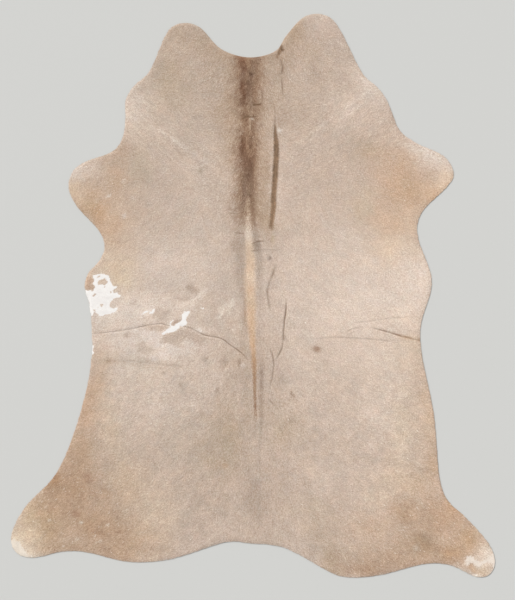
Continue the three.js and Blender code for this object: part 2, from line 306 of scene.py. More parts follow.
# Bands along the spine.
# Streaky is how far the lie of the hair frays a band's sides, as a share of its half width.
BANDS = table("name streaky stations", [
    ("brown haze round the dark stripe", 0.35, stations([
        (960, -18, (52, 52), (153, 122, 98), 0.95),
        (880, -18, (56, 54), (152, 122, 97), 0.95),
        (820, -18, (56, 54), (152, 122, 98), 0.95),
        (750, -14, (56, 54), (151, 122, 99), 0.95),
        (700, -12, (52, 50), (154, 127, 104), 0.95),
        (640, -14, (46, 48), (154, 127, 104), 0.9),
        (600, -14, (46, 47), (150, 121, 97), 0.95),
        (520, -12, (56, 52), (146, 116, 93), 0.95),
        (440, -16, (48, 54), (149, 121, 98), 0.95),
        (400, -18, (56, 55), (152, 124, 102), 0.95),
        (350, -18, (61, 53), (158, 132, 110), 0.95),
        (300, -18, (61, 52), (164, 138, 117), 0.9),
        (262, -18, (54, 50), (174, 150, 131), 0.65),
        (235, -18, (48, 48), (184, 162, 144), 0.2),
    ])),
    ("tan ground between the stripe and the long fold", 0.4, stations([
        (760, 56, 24, (186, 163, 141), 0.1),
        (640, 54, 24, (188, 166, 146), 0.5),
        (540, 50, 24, (192, 169, 149), 0.7),
        (480, 42, 23, (178, 155, 134), 0.9),
        (420, 44, 24, (184, 160, 138), 0.7),
        (300, 44, 27, (176, 153, 131), 0.85),
        (262, 52, 30, (178, 154, 131), 0.75),
        (220, 50, 26, (188, 164, 143), 0.5),
        (170, 50, 24, (194, 174, 156), 0.1),
    ])),
    ("red-brown left strand over the withers", 0.4, stations([
        (950, -44, 17, (138, 104, 82), 0.2),
        (906, -44, 15, (142, 108, 86), 0.4),
        (890, -44, 17, (134, 99, 76), 0.85),
        (868, -36, 12, (130, 98, 77), 0.9),
        (850, -32, 11, (120, 88, 69), 0.9),
        (830, -36, 13, (138, 110, 93), 0.6),
        (812, -39, 10, (128, 96, 76), 0.85),
        (796, -43, 10, (116, 82, 61), 0.95),
        (775, -40, 9, (122, 88, 67), 0.9),
        (754, -32, 9, (112, 78, 57), 0.95),
        (738, -36, 11, (128, 96, 75), 0.85),
        (721, -40, 13, (116, 84, 63), 0.95),
        (711, -36, 10, (138, 110, 88), 0.5),
        (690, -28, 12, (140, 111, 88), 0.8),
        (664, -28, 13, (142, 113, 90), 0.8),
        (625, -34, 14, (144, 114, 92), 0.6),
    ])),
    ("dark strand between those over the withers", 0.35, stations([
        (822, -18, 6, (134, 107, 88), 0.2),
        (800, -17, 7, (126, 99, 80), 0.6),
        (778, -21, 9, (112, 84, 66), 0.9),
        (764, -20, 7, (122, 94, 76), 0.7),
        (750, -18, 5, (134, 107, 88), 0.1),
    ])),
    ("grey-brown right strand over the withers", 0.45, stations([
        (950, 10, 17, (142, 117, 97), 0.8),
        (880, 8, 17, (140, 115, 95), 0.8),
        (836, -6, 14, (136, 110, 91), 0.8),
        (790, -12, 15, (130, 104, 86), 0.85),
        (740, -8, 12, (138, 113, 94), 0.6),
        (700, 0, 11, (144, 118, 98), 0.5),
        (665, -2, 9, (134, 109, 89), 0.7),
        (640, 2, 10, (142, 116, 96), 0.6),
        (615, 2, 8, (148, 123, 102), 0.3),
    ])),
    ("left strand below the withers", 0.4, stations([
        (614, -36, 10, (142, 112, 90), 0.3),
        (600, -36, 11, (136, 105, 83), 0.85),
        (570, -41, 10, (122, 90, 69), 0.95),
        (540, -35, 14, (128, 97, 76), 0.95),
        (510, -27, 18, (122, 93, 74), 0.9),
        (480, -22, 19, (130, 102, 83), 0.9),
        (440, -25, 16, (129, 105, 87), 0.9),
        (400, -30, 11, (134, 109, 92), 0.8),
        (350, -35, 8, (140, 116, 98), 0.8),
        (310, -42, 10, (154, 129, 109), 0.6),
        (262, -44, 11, (164, 142, 124), 0.4),
    ])),
    ("right strand below the withers", 0.4, stations([
        (612, -8, 8, (144, 117, 96), 0.2),
        (596, -9, 9, (134, 105, 84), 0.9),
        (560, -9, 10, (130, 101, 80), 0.85),
        (540, 2, 15, (138, 110, 89), 0.8),
        (510, -12, 12, (121, 93, 74), 0.95),
        (455, -10, 12, (124, 97, 78), 0.95),
        (410, -8, 11, (134, 109, 89), 0.85),
        (375, -8, 11, (138, 112, 92), 0.85),
        (330, -4, 10, (138, 111, 90), 0.9),
        (290, 0, 10, (148, 122, 101), 0.9),
        (262, 3, 10, (162, 139, 120), 0.7),
        (245, 8, 8, (168, 148, 131), 0.5),
    ])),
    ("light parting over the withers", 0.3, stations([
        (760, -14, 3, (170, 147, 126), 0.1),
        (745, -8, 4, (176, 154, 134), 0.5),
        (700, -4, 4, (180, 158, 138), 0.4),
        (668, -11, 4, (180, 158, 138), 0.5),
        (645, -12, 4, (182, 160, 140), 0.5),
        (620, -14, 3, (176, 154, 134), 0.1),
    ])),
    ("light gap between the lower strands", 0.4, stations([
        (400, -21, 5, (160, 137, 119), 0.1),
        (360, -19, 7, (174, 151, 131), 0.6),
        (310, -18, 8, (182, 160, 139), 0.8),
        (270, -17, 10, (206, 186, 167), 0.85),
    ])),
    ("brown smoke left of the spine line", 0.5, stations([
        (270, -44, 20, (178, 158, 141), 0.2),
        (235, -50, 22, (178, 158, 141), 0.5),
        (190, -56, 30, (168, 147, 130), 0.75),
        (150, -46, 22, (176, 156, 139), 0.6),
        (60, -42, 20, (178, 157, 140), 0.65),
        (0, -40, 16, (182, 161, 144), 0.55),
        (-40, -38, 12, (180, 158, 140), 0.55),
        (-100, -36, 12, (180, 158, 140), 0.5),
        (-125, -34, 14, (186, 165, 147), 0.5),
        (-200, -32, 20, (184, 163, 144), 0.5),
        (-290, -26, 18, (182, 162, 145), 0.55),
        (-360, -26, 18, (176, 156, 139), 0.55),
        (-440, -14, 14, (184, 164, 146), 0.4),
        (-520, -8, 14, (188, 168, 150), 0.2),
    ])),
    ("brown thread left of the spine line", 0.3, stations([
        (20, -32, 3, (176, 150, 129), 0.1),
        (-20, -31, 4, (172, 145, 124), 0.6),
        (-108, -30, 4, (170, 143, 121), 0.65),
        (-125, -29, 3, (180, 156, 136), 0.1),
    ])),
    ("grey smoke right of the spine line", 0.5, stations([
        (250, 14, 13, (170, 149, 133), 0.4),
        (215, 13, 13, (162, 142, 125), 0.7),
        (180, 15, 13, (156, 136, 120), 0.8),
        (155, 22, 15, (172, 153, 137), 0.5),
        (100, 24, 17, (174, 154, 138), 0.7),
        (20, 22, 13, (186, 166, 150), 0.5),
        (-60, 22, 13, (192, 172, 156), 0.35),
        (-130, 22, 14, (192, 172, 157), 0.4),
        (-170, 28, 17, (186, 166, 150), 0.5),
        (-220, 26, 14, (190, 170, 154), 0.4),
        (-300, 28, 16, (184, 163, 147), 0.5),
        (-380, 32, 14, (180, 160, 144), 0.5),
        (-460, 32, 12, (184, 164, 148), 0.4),
    ])),
    ("spine line, cream to orange", 0.16, stations([
        (300, -20, 6, (204, 184, 164), 0.2),
        (262, -19, 9, (216, 198, 180), 0.8),
        (240, -17, 11, (224, 206, 188), 0.95),
        (190, -14, 13, (214, 192, 170), 0.95),
        (140, -10, 16, (216, 188, 160), 0.95),
        (100, -11, 18, (222, 194, 166), 0.95),
        (60, -11, 20, (226, 202, 178), 0.95),
        (20, -11, 18, (215, 185, 157), 0.95),
        (-20, -9, 18, (216, 189, 162), 0.95),
        (-60, -8, 17, (210, 179, 150), 0.95),
        (-110, -5, 14, (210, 180, 151), 0.95),
        (-160, -2, 12, (207, 174, 144), 0.95),
        (-200, 0, 9, (204, 170, 139), 0.95),
        (-250, 4, 9, (182, 146, 115), 0.95),
        (-300, 6, 7, (166, 131, 101), 0.95),
        (-350, 6, 5, (162, 128, 98), 0.9),
        (-400, 7, 3.6, (146, 108, 78), 0.95),
        (-445, 9, 3, (146, 110, 84), 0.95),
        (-462, 9, 2.8, (160, 130, 108), 0.8),
        (-480, 9, 3, (176, 148, 128), 0.5),
        (-520, 9, 3, (182, 158, 138), 0.1),
    ])),
    ("grey line beside the loin", 0.3, stations([
        (-230, 36, 5, (170, 148, 131), 0.1),
        (-270, 34, 9, (168, 145, 130), 0.75),
        (-310, 31, 8, (166, 143, 127), 0.8),
        (-400, 31, 8, (168, 147, 130), 0.75),
        (-500, 29, 6, (172, 152, 135), 0.7),
        (-600, 24, 6, (178, 158, 141), 0.55),
        (-800, 22, 7, (180, 161, 146), 0.5),
        (-900, 18, 8, (186, 166, 150), 0.3),
    ])),
])

# Clouds: patches with a fairly sharp but frayed edge.
# Soft is how wide their edge is, and ragged how far it wanders.
CLOUDS = table("name tone amount soft ragged edge", [
    ("pale ground below the left waist fold", (231, 217, 206), 0.75, 6, 9, [
        (-455, -128), (-420, -133), (-390, -138), (-362, -140), (-338, -150), (-345, -166), (-352, -178),
        (-325, -188), (-322, -200), (-345, -206), (-362, -196), (-376, -178), (-400, -164), (-440, -150),
    ]),
    ("pale spot over the left hollow", (229, 215, 205), 0.8, 8, 8, [
        (-358, -210), (-330, -208), (-322, -225), (-330, -246), (-348, -244), (-356, -228),
    ]),
    ("pale spot beside it", (228, 215, 207), 0.7, 6, 6, [
        (-386, -230), (-372, -224), (-362, -236), (-374, -248), (-388, -242),
    ]),
    ("pale ground right of the white slash", (228, 212, 197), 0.75, 7, 9, [
        (-205, 4), (-190, 14), (-182, 4), (-200, -12), (-216, -26), (-232, -44), (-252, -52), (-278, -46),
        (-292, -30), (-268, -22), (-240, -16), (-222, -6),
    ]),
    ("brown patch left of the white slash", (203, 184, 168), 0.85, 5, 8, [
        (-378, -62), (-366, -52), (-350, -50), (-332, -54), (-316, -62), (-318, -76), (-326, -92),
        (-345, -102), (-366, -96), (-380, -80),
    ]),
    ("brown strip under the left waist fold", (201, 180, 163), 0.75, 4, 6, [
        (-402, -116), (-370, -111), (-330, -112), (-314, -118), (-326, -129), (-350, -134), (-385, -130),
    ]),
    ("brown patch below the white slash", (197, 176, 159), 0.8, 5, 12, [
        (-334, -150), (-318, -143), (-290, -136), (-265, -128), (-240, -131), (-214, -137), (-190, -150),
        (-176, -162), (-184, -178), (-196, -194), (-210, -192), (-222, -176), (-242, -168), (-264, -174),
        (-278, -190), (-296, -194), (-308, -184), (-328, -178), (-346, -174), (-338, -162),
    ]),
    ("brown cloud on the left waist", (203, 184, 168), 0.8, 9, 12, [
        (-432, -180), (-408, -176), (-386, -188), (-362, -200), (-356, -214), (-374, -222), (-398, -228),
        (-420, -212), (-436, -196),
    ]),
    ("broad shade in the left waist hollow", (193, 175, 154), 0.3, 13, 9, [
        (-622, -220), (-560, -228), (-480, -232), (-400, -240), (-330, -250), (-280, -260), (-255, -272),
        (-300, -282), (-380, -276), (-450, -268), (-520, -264), (-570, -262), (-622, -246),
    ]),
    ("brown spot over the white slash", (184, 163, 146), 0.85, 6, 8, [
        (-252, 34), (-240, 42), (-224, 38), (-210, 28), (-204, 16), (-196, 10), (-212, 4), (-228, 8),
        (-244, 14),
    ]),
    ("brown thread left of that spot", (196, 176, 160), 0.7, 5, 5, [
        (-300, -6), (-280, -6), (-262, -10), (-240, -6), (-226, -10), (-244, -18), (-262, -22), (-284, -12),
    ]),
    ("brown island inside the white arc", (186, 164, 147), 0.9, 3, 2, [
        (-308, -110), (-305, -102), (-299, -95), (-293, -91), (-282, -89), (-272, -92), (-276, -98),
        (-286, -105), (-295, -110), (-302, -115),
    ]),
    ("white hairs on the waist fold", (236, 224, 214), 0.8, 4, 5, [
        (-222, -126), (-212, -120), (-200, -128), (-190, -138), (-200, -138), (-212, -132),
    ]),
    ("whitish spot under the shoulder", (222, 205, 190), 0.6, 8, 8, [
        (-484, -58), (-462, -54), (-448, -62), (-456, -76), (-476, -78),
    ]),
    ("brown spot in the right hind tip", (198, 168, 142), 0.85, 5, 6, [
        (814, -1014), (828, -1012), (836, -1022), (844, -1034), (840, -1048), (824, -1048), (814, -1030),
    ]),
    ("white hairs under that spot", (240, 227, 212), 0.8, 4, 5, [
        (796, -1042), (812, -1050), (828, -1056), (846, -1058), (838, -1072), (808, -1062),
    ]),
    ("whitish patch on the right hind leg", (204, 190, 174), 0.6, 7, 7, [
        (604, -950), (618, -944), (632, -952), (628, -966), (612, -970),
    ]),
])

# Small spots. Ragged is how far noise moves their edge, as a share of their reach.
SPOTS = table("x y reach tone amount ragged", [
    (240, -206, (15, 13), (166, 138, 118), 0.95, 0.5),
    (226, -200, (9, 7), (178, 153, 134), 0.8, 0.5),
    (243, -283, (7, 6), (180, 156, 138), 0.7, 0.4),
    (-546, -249, (12, 8), (170, 145, 124), 0.8, 0.4),
    (-526, -250, (7, 6), (182, 158, 138), 0.6, 0.4),
    (-479, -152, (11, 9), (196, 174, 157), 0.85, 0.5),
    (-458, -30, (14, 12), (206, 186, 171), 0.6, 0.5),
    (-178, -238, (9, 8), (182, 160, 143), 0.8, 0.5),
    (-208, -216, (9, 8), (188, 166, 150), 0.7, 0.5),
    (-277, -236, (9, 7), (188, 167, 151), 0.7, 0.5),
    (-112, -258, (14, 18), (180, 159, 143), 0.7, 0.5),
    (-51, -262, (8, 18), (166, 144, 126), 0.85, 0.5),
    (-39, -264, (7, 11), (219, 206, 195), 0.85, 0.5),
    (62, 140, (10, 8), (150, 132, 117), 0.85, 0.3),
    (96, -270, (7, 18), (190, 165, 152), 0.6, 0.5),
    (146, -371, (5, 9), (142, 118, 98), 0.85, 0.4),
    (153, -378, (6, 5), (158, 133, 113), 0.8, 0.4),
    (144, -474, (7, 5), (164, 139, 118), 0.7, 0.4),
    (-613, 56, (11, 10), (196, 166, 142), 0.7, 0.5),
    (-616, 32, (14, 9), (194, 163, 138), 0.75, 0.5),
    (70, 258, (14, 12), (164, 141, 119), 0.75, 0.4),
    (68, 262, (8, 12), (148, 122, 100), 0.8, 0.3),
    (-9, 836, (6, 7), (88, 62, 48), 0.9, 0.3),
    (-1, 834, (5, 4), (100, 76, 62), 0.7, 0.3),
    (9, 838, (8, 4), (116, 94, 74), 0.8, 0.3),
    (3, 866, (9, 5), (124, 98, 79), 0.6, 0.4),
    (-40, 587, (6, 7), (104, 72, 52), 0.7, 0.4),
    (-37, 552, (9, 9), (106, 76, 57), 0.6, 0.4),
    (-12, 561, (5, 5), (104, 76, 58), 0.7, 0.3),
    (-8, 598, (5, 4), (104, 78, 60), 0.7, 0.3),
    (-15, 382, (7, 5), (104, 82, 64), 0.7, 0.4),
    (-2, 356, (8, 4), (114, 88, 68), 0.7, 0.4),
    (-6, 342, (7, 5), (116, 90, 70), 0.6, 0.4),
    (-4, 668, (6, 4), (206, 194, 182), 0.8, 0.3),
    (-336, -293, (9, 8), (186, 164, 146), 0.6, 0.5),
    (-276, -336, (8, 9), (180, 158, 140), 0.7, 0.5),
    (-136, -356, (9, 14), (178, 156, 138), 0.7, 0.5),
    (-71, -374, (6, 6), (168, 144, 124), 0.6, 0.4),
    (-196, -449, (10, 9), (180, 158, 140), 0.6, 0.5),
    (-508, -368, (9, 8), (194, 172, 152), 0.5, 0.5),
    (14, 189, (15, 12), (156, 138, 122), 0.5, 0.5),
    (76, 207, (10, 13), (190, 170, 141), 0.6, 0.4),
    (12, 202, (7, 4), (130, 112, 96), 0.6, 0.4),
    (76, 80, (7, 9), (172, 154, 138), 0.6, 0.4),
    (118, -160, (6, 10), (150, 130, 113), 0.6, 0.3),
    (-104, -644, (15, 11), (186, 157, 131), 0.6, 0.5),
    (-553, 373, (5, 5), (226, 216, 206), 0.9, 0.3),
    (-543, 378, (4, 5), (226, 216, 206), 0.9, 0.3),
    (-491, 432, (6, 6), (228, 216, 204), 0.9, 0.3),
    (-486, 303, (6, 9), (226, 212, 200), 0.85, 0.3),
    (-594, 356, (5, 7), (224, 206, 186), 0.7, 0.3),
    (-590, 312, (24, 38), (188, 152, 119), 0.35, 0.5),
    (-454, 367, (6, 5), (222, 208, 194), 0.7, 0.4),
    (-201, 471, (10, 10), (160, 141, 121), 0.8, 0.2),
    (-201, 471, (5, 5), (210, 194, 176), 0.8, 0.2),
    (101, 622, (8, 9), (224, 211, 200), 0.9, 0.4),
    (-743, -692, (22, 24), (170, 134, 104), 0.65, 0.5),
    (-628, -692, (28, 18), (178, 141, 116), 0.45, 0.5),
    (-672, -826, (24, 12), (168, 130, 105), 0.5, 0.5),
    (-649, -857, (7, 6), (220, 212, 198), 0.9, 0.4),
    (570, -834, (14, 10), (174, 145, 119), 0.4, 0.5),
    (646, -922, (12, 12), (160, 140, 118), 0.5, 0.5),
    (-580, -900, (26, 16), (176, 142, 115), 0.5, 0.5),
    (-505, -884, (22, 14), (178, 145, 118), 0.4, 0.5),
    (-568, -742, (26, 22), (184, 154, 128), 0.35, 0.5),
    (-770, -851, (5, 5), (230, 218, 202), 0.75, 0.3),
    (-782, -800, (4, 6), (224, 208, 188), 0.8, 0.3),
    (-551, -868, (5, 5), (228, 216, 200), 0.85, 0.3),
    (-579, -928, (6, 4), (230, 218, 202), 0.85, 0.3),
    (-599, -911, (4, 5), (226, 212, 196), 0.8, 0.3),
    (-664, -921, (5, 8), (222, 207, 190), 0.7, 0.4),
])

# Faint streaks: pale hairs, painted highlights where the hair catches the light and along some edges, painted
# shade in the finest wrinkles and two folds, and rust on one fold
STREAKS = table("tone reach amount path", [
    # painted highlights where the hair of the shoulders catches the light
    ("fleck", 5, 0.2, [(329, 664), (400, 712), (480, 777)]),
    ("fleck", 5, 0.25, [(216, 588), (300, 648), (393, 713)]),
    ("fleck", 6, 0.3, [(159, 569), (300, 672), (442, 777)]),
    ("fleck", 6, 0.22, [(-492, 690), (-420, 650), (-352, 622), (-300, 590)]),
    ("fleck", 7, 0.3, [(-352, 622), (-260, 560), (-163, 493)]),
    ("rust", 6, 0.5, [(520, -141), (559, -153), (600, -163), (668, -178)]),
    # painted shade in two soft folds
    ("crease", 10, 0.2, [(104, 900), (113, 868), (111, 846)]),
    ("crease", 9, 0.13, [(534, -804), (575, -842), (612, -880), (668, -946)]),
    ("fleck", 4, 0.6, [(-128, -88), (-118, -70), (-108, -52)]),
    ("fleck", 4, 0.6, [(-102, -64), (-88, -46), (-70, -30)]),
    ("fleck", 5, 0.45, [(-134, -50), (-120, -44), (-104, -34)]),
    ("fleck", 3, 0.5, [(-112, -92), (-98, -76), (-86, -62)]),
    ("fleck", 3, 0.5, [(-60, -22), (-54, -40)]),
    ("fleck", 3, 0.5, [(-52, -110), (-48, -124)]),
    ("fleck", 4, 0.5, [(-48, -252), (-42, -272)]),
    ("fleck", 3, 0.35, [(22, -448), (21, -520), (22, -600), (20, -690)]),
    ("fleck", 10, 0.4, [(-128, -64), (-112, -48), (-94, -32)]),
    ("fleck", 7, 0.35, [(-92, -44), (-84, -30), (-78, -18)]),
    ("fleck", 3, 0.6, [(-126, -82), (-121, -72), (-112, -64)]),
    ("fleck", 3, 0.5, [(-76, -128), (-70, -114), (-66, -100)]),
    ("fleck", 4, 0.4, [(-48, -118), (-42, -110), (-44, -102)]),
    ("fleck", 11, 0.28, [(-240, -36), (-216, -10), (-190, 12), (-168, 28)]),
    ("fleck", 5, 0.35, [(-50, -70), (-47, -46), (-42, -26)]),
    # painted highlights along the edges of the hind toes
    ("fleck", 7, 0.45, [(892, -956), (894, -975), (890, -988)]),
    ("fleck", 5, 0.45, [(-857, -987), (-830, -988), (-803, -986), (-775, -977)]),
    ("fleck", 6, 0.6, [(762, -1024), (790, -1036), (812, -1048), (832, -1056), (862, -1060)]),
    # painted shade in the finest wrinkles
    ("crease", 3, 0.3, [(9, -462), (9, -500), (8, -545)]),
    ("crease", 3, 0.4, [(143, -364), (150, -373), (158, -381)]),
    ("crease", 3, 0.4, [(67, 166), (64, 150)]),
    ("crease", 2.5, 0.3, [(8, 140), (36, 138), (62, 139)]),
    ("crease", 5, 0.25, [(18, 139), (30, 137), (44, 134)]),
    ("crease", 3, 0.3, [(136, -470), (144, -478)]),
    ("crease", 3, 0.3, [(101, -500), (108, -512), (114, -522)]),
    ("crease", 3, 0.3, [(40, 880), (60, 879), (78, 877)]),
    ("crease", 3, 0.35, [(24, 880), (24, 862), (23, 846)]),
    ("crease", 3, 0.4, [(98, 838), (90, 828)]),
    ("crease", 3, 0.3, [(80, 816), (75, 800)]),
])

# Marks with a crisp edge, white and brown. Islands keep the colour of the coat, and soft widens the edge.
MARKS = table("name tone soft edge islands", [
    ("white patch on the left belly", "white", 1, [
        (-608, 77), (-592, 78), (-584, 82), (-567, 83), (-556, 78), (-545, 76), (-541, 66), (-541, 57),
        (-535, 50), (-532, 39), (-526, 36), (-513, 35), (-516, 29), (-523, 25), (-530, 19), (-528, 11),
        (-522, 9), (-514, 13), (-511, 8), (-506, 3), (-499, 0), (-503, -5), (-514, -8), (-522, -12),
        (-529, -15), (-534, -19), (-537, -26), (-541, -32), (-542, -40), (-537, -46), (-526, -48),
        (-516, -46), (-510, -42), (-511, -49), (-517, -57), (-526, -65), (-535, -68), (-545, -71),
        (-556, -71), (-564, -74), (-573, -79), (-582, -76), (-584, -70), (-592, -67), (-601, -64),
        (-606, -70), (-610, -78), (-625, -79), (-645, -40), (-650, 19), (-626, 19), (-613, 20), (-607, 16),
        (-602, 17), (-600, 25), (-597, 31), (-600, 37), (-605, 42), (-604, 47), (-600, 55), (-601, 62),
        (-606, 68),
    ], [
        [
            (-587, 48), (-584, 55), (-577, 58), (-571, 61), (-566, 64), (-560, 67), (-556, 63), (-553, 58),
            (-548, 52), (-552, 46), (-555, 42), (-562, 39), (-568, 40), (-571, 44), (-576, 41), (-581, 38),
            (-586, 41),
        ],
        [(-591, 68), (-587, 73), (-579, 75), (-578, 71), (-584, 66), (-589, 65)],
        [(-565, 31), (-562, 34), (-558, 31), (-561, 27)],
        [(-542, 13), (-538, 17), (-533, 14), (-537, 9)],
        [(-608, -3), (-605, 3), (-599, 8), (-593, 7), (-594, 1), (-600, -3), (-605, -5)],
        [(-578, -34), (-575, -30), (-568, -31), (-567, -38), (-571, -44), (-577, -41)],
        [(-589, -45), (-586, -43), (-584, -47), (-587, -50)],
        [(-604, -54), (-599, -53), (-593, -60), (-596, -63), (-602, -59)],
        [(-623, -25), (-618, -24), (-617, -30), (-622, -31)],
    ]),
    ("white slash on the left waist", "white", 1, [
        (-347, -144), (-339, -141), (-333, -135), (-325, -127), (-317, -124), (-313, -117), (-299, -114),
        (-295, -110), (-286, -106), (-278, -101), (-270, -94), (-269, -85), (-269, -75), (-263, -66),
        (-258, -60), (-251, -61), (-245, -59), (-238, -58), (-241, -65), (-245, -74), (-251, -82),
        (-253, -90), (-252, -97), (-249, -103), (-254, -111), (-263, -115), (-275, -117), (-280, -124),
        (-287, -130), (-297, -134), (-305, -138), (-313, -141), (-319, -139), (-326, -143), (-335, -147),
        (-343, -148),
    ]),
    ("white arc over the slash", "white", 1, [
        (-315, -116), (-314, -105), (-310, -98), (-304, -93), (-299, -91), (-301, -96), (-306, -100),
        (-310, -107), (-309, -116),
    ]),
    ("first white bit", "white", 1, [
        (-420, -72), (-410, -62), (-394, -54), (-392, -60), (-405, -66),
    ]),
    ("second white bit", "white", 1, [
        (-392, -66), (-383, -59), (-377, -53), (-370, -49), (-372, -60), (-378, -66), (-387, -70),
    ]),
    ("third white bit", "white", 1, [
        (-198, -48), (-191, -44), (-184, -45), (-187, -51), (-194, -51),
    ]),
    ("white hair at the left edge", "white", 1, [
        (-622, -181), (-605, -182), (-604, -200), (-603, -222), (-622, -224),
    ]),
    ("cream toe of the left hind leg", "toe cream", 2.5, [
        (-935, -914), (-914, -921), (-900, -924), (-887, -928), (-879, -938), (-872, -950), (-863, -962),
        (-855, -973), (-849, -990), (-862, -1010), (-930, -1000),
    ]),
    ("white toe of the right hind leg", "toe white", 2.4, [
        (801, -1008), (804, -996), (806, -988), (817, -986), (832, -987), (839, -996), (848, -1004),
        (858, -1008), (869, -1003), (880, -998), (892, -993), (902, -984), (906, -972), (902, -956),
        (930, -950), (940, -1066), (880, -1068), (896, -1054), (907, -1036), (907, -1020), (899, -1010),
        (888, -1008), (877, -1012), (866, -1020), (853, -1027), (845, -1022), (837, -1014), (829, -1010),
        (817, -1008), (813, -1022), (805, -1018),
    ]),
    ("long fold beside the spine", "fold brown", 1, [
        (86, 645), (89, 624), (92, 607), (97, 580), (99, 552), (98, 520), (96, 490), (95, 460), (92, 430),
        (90, 400), (88, 370), (88, 340), (84, 310), (80, 282), (75, 264), (69, 256), (63, 264), (63, 280),
        (65, 310), (68, 340), (67, 370), (70, 400), (72, 430), (74, 460), (75, 490), (77, 520), (78, 550),
        (78, 580), (78, 610), (80, 632), (82, 645),
    ]),
    ("fold on the nape", "fold brown", 1, [
        (98, 950), (110, 948), (113, 934), (121, 930), (117, 923), (108, 921), (103, 914), (98, 904),
        (92, 897), (87, 900), (92, 912), (93, 922), (98, 932),
    ]),
])
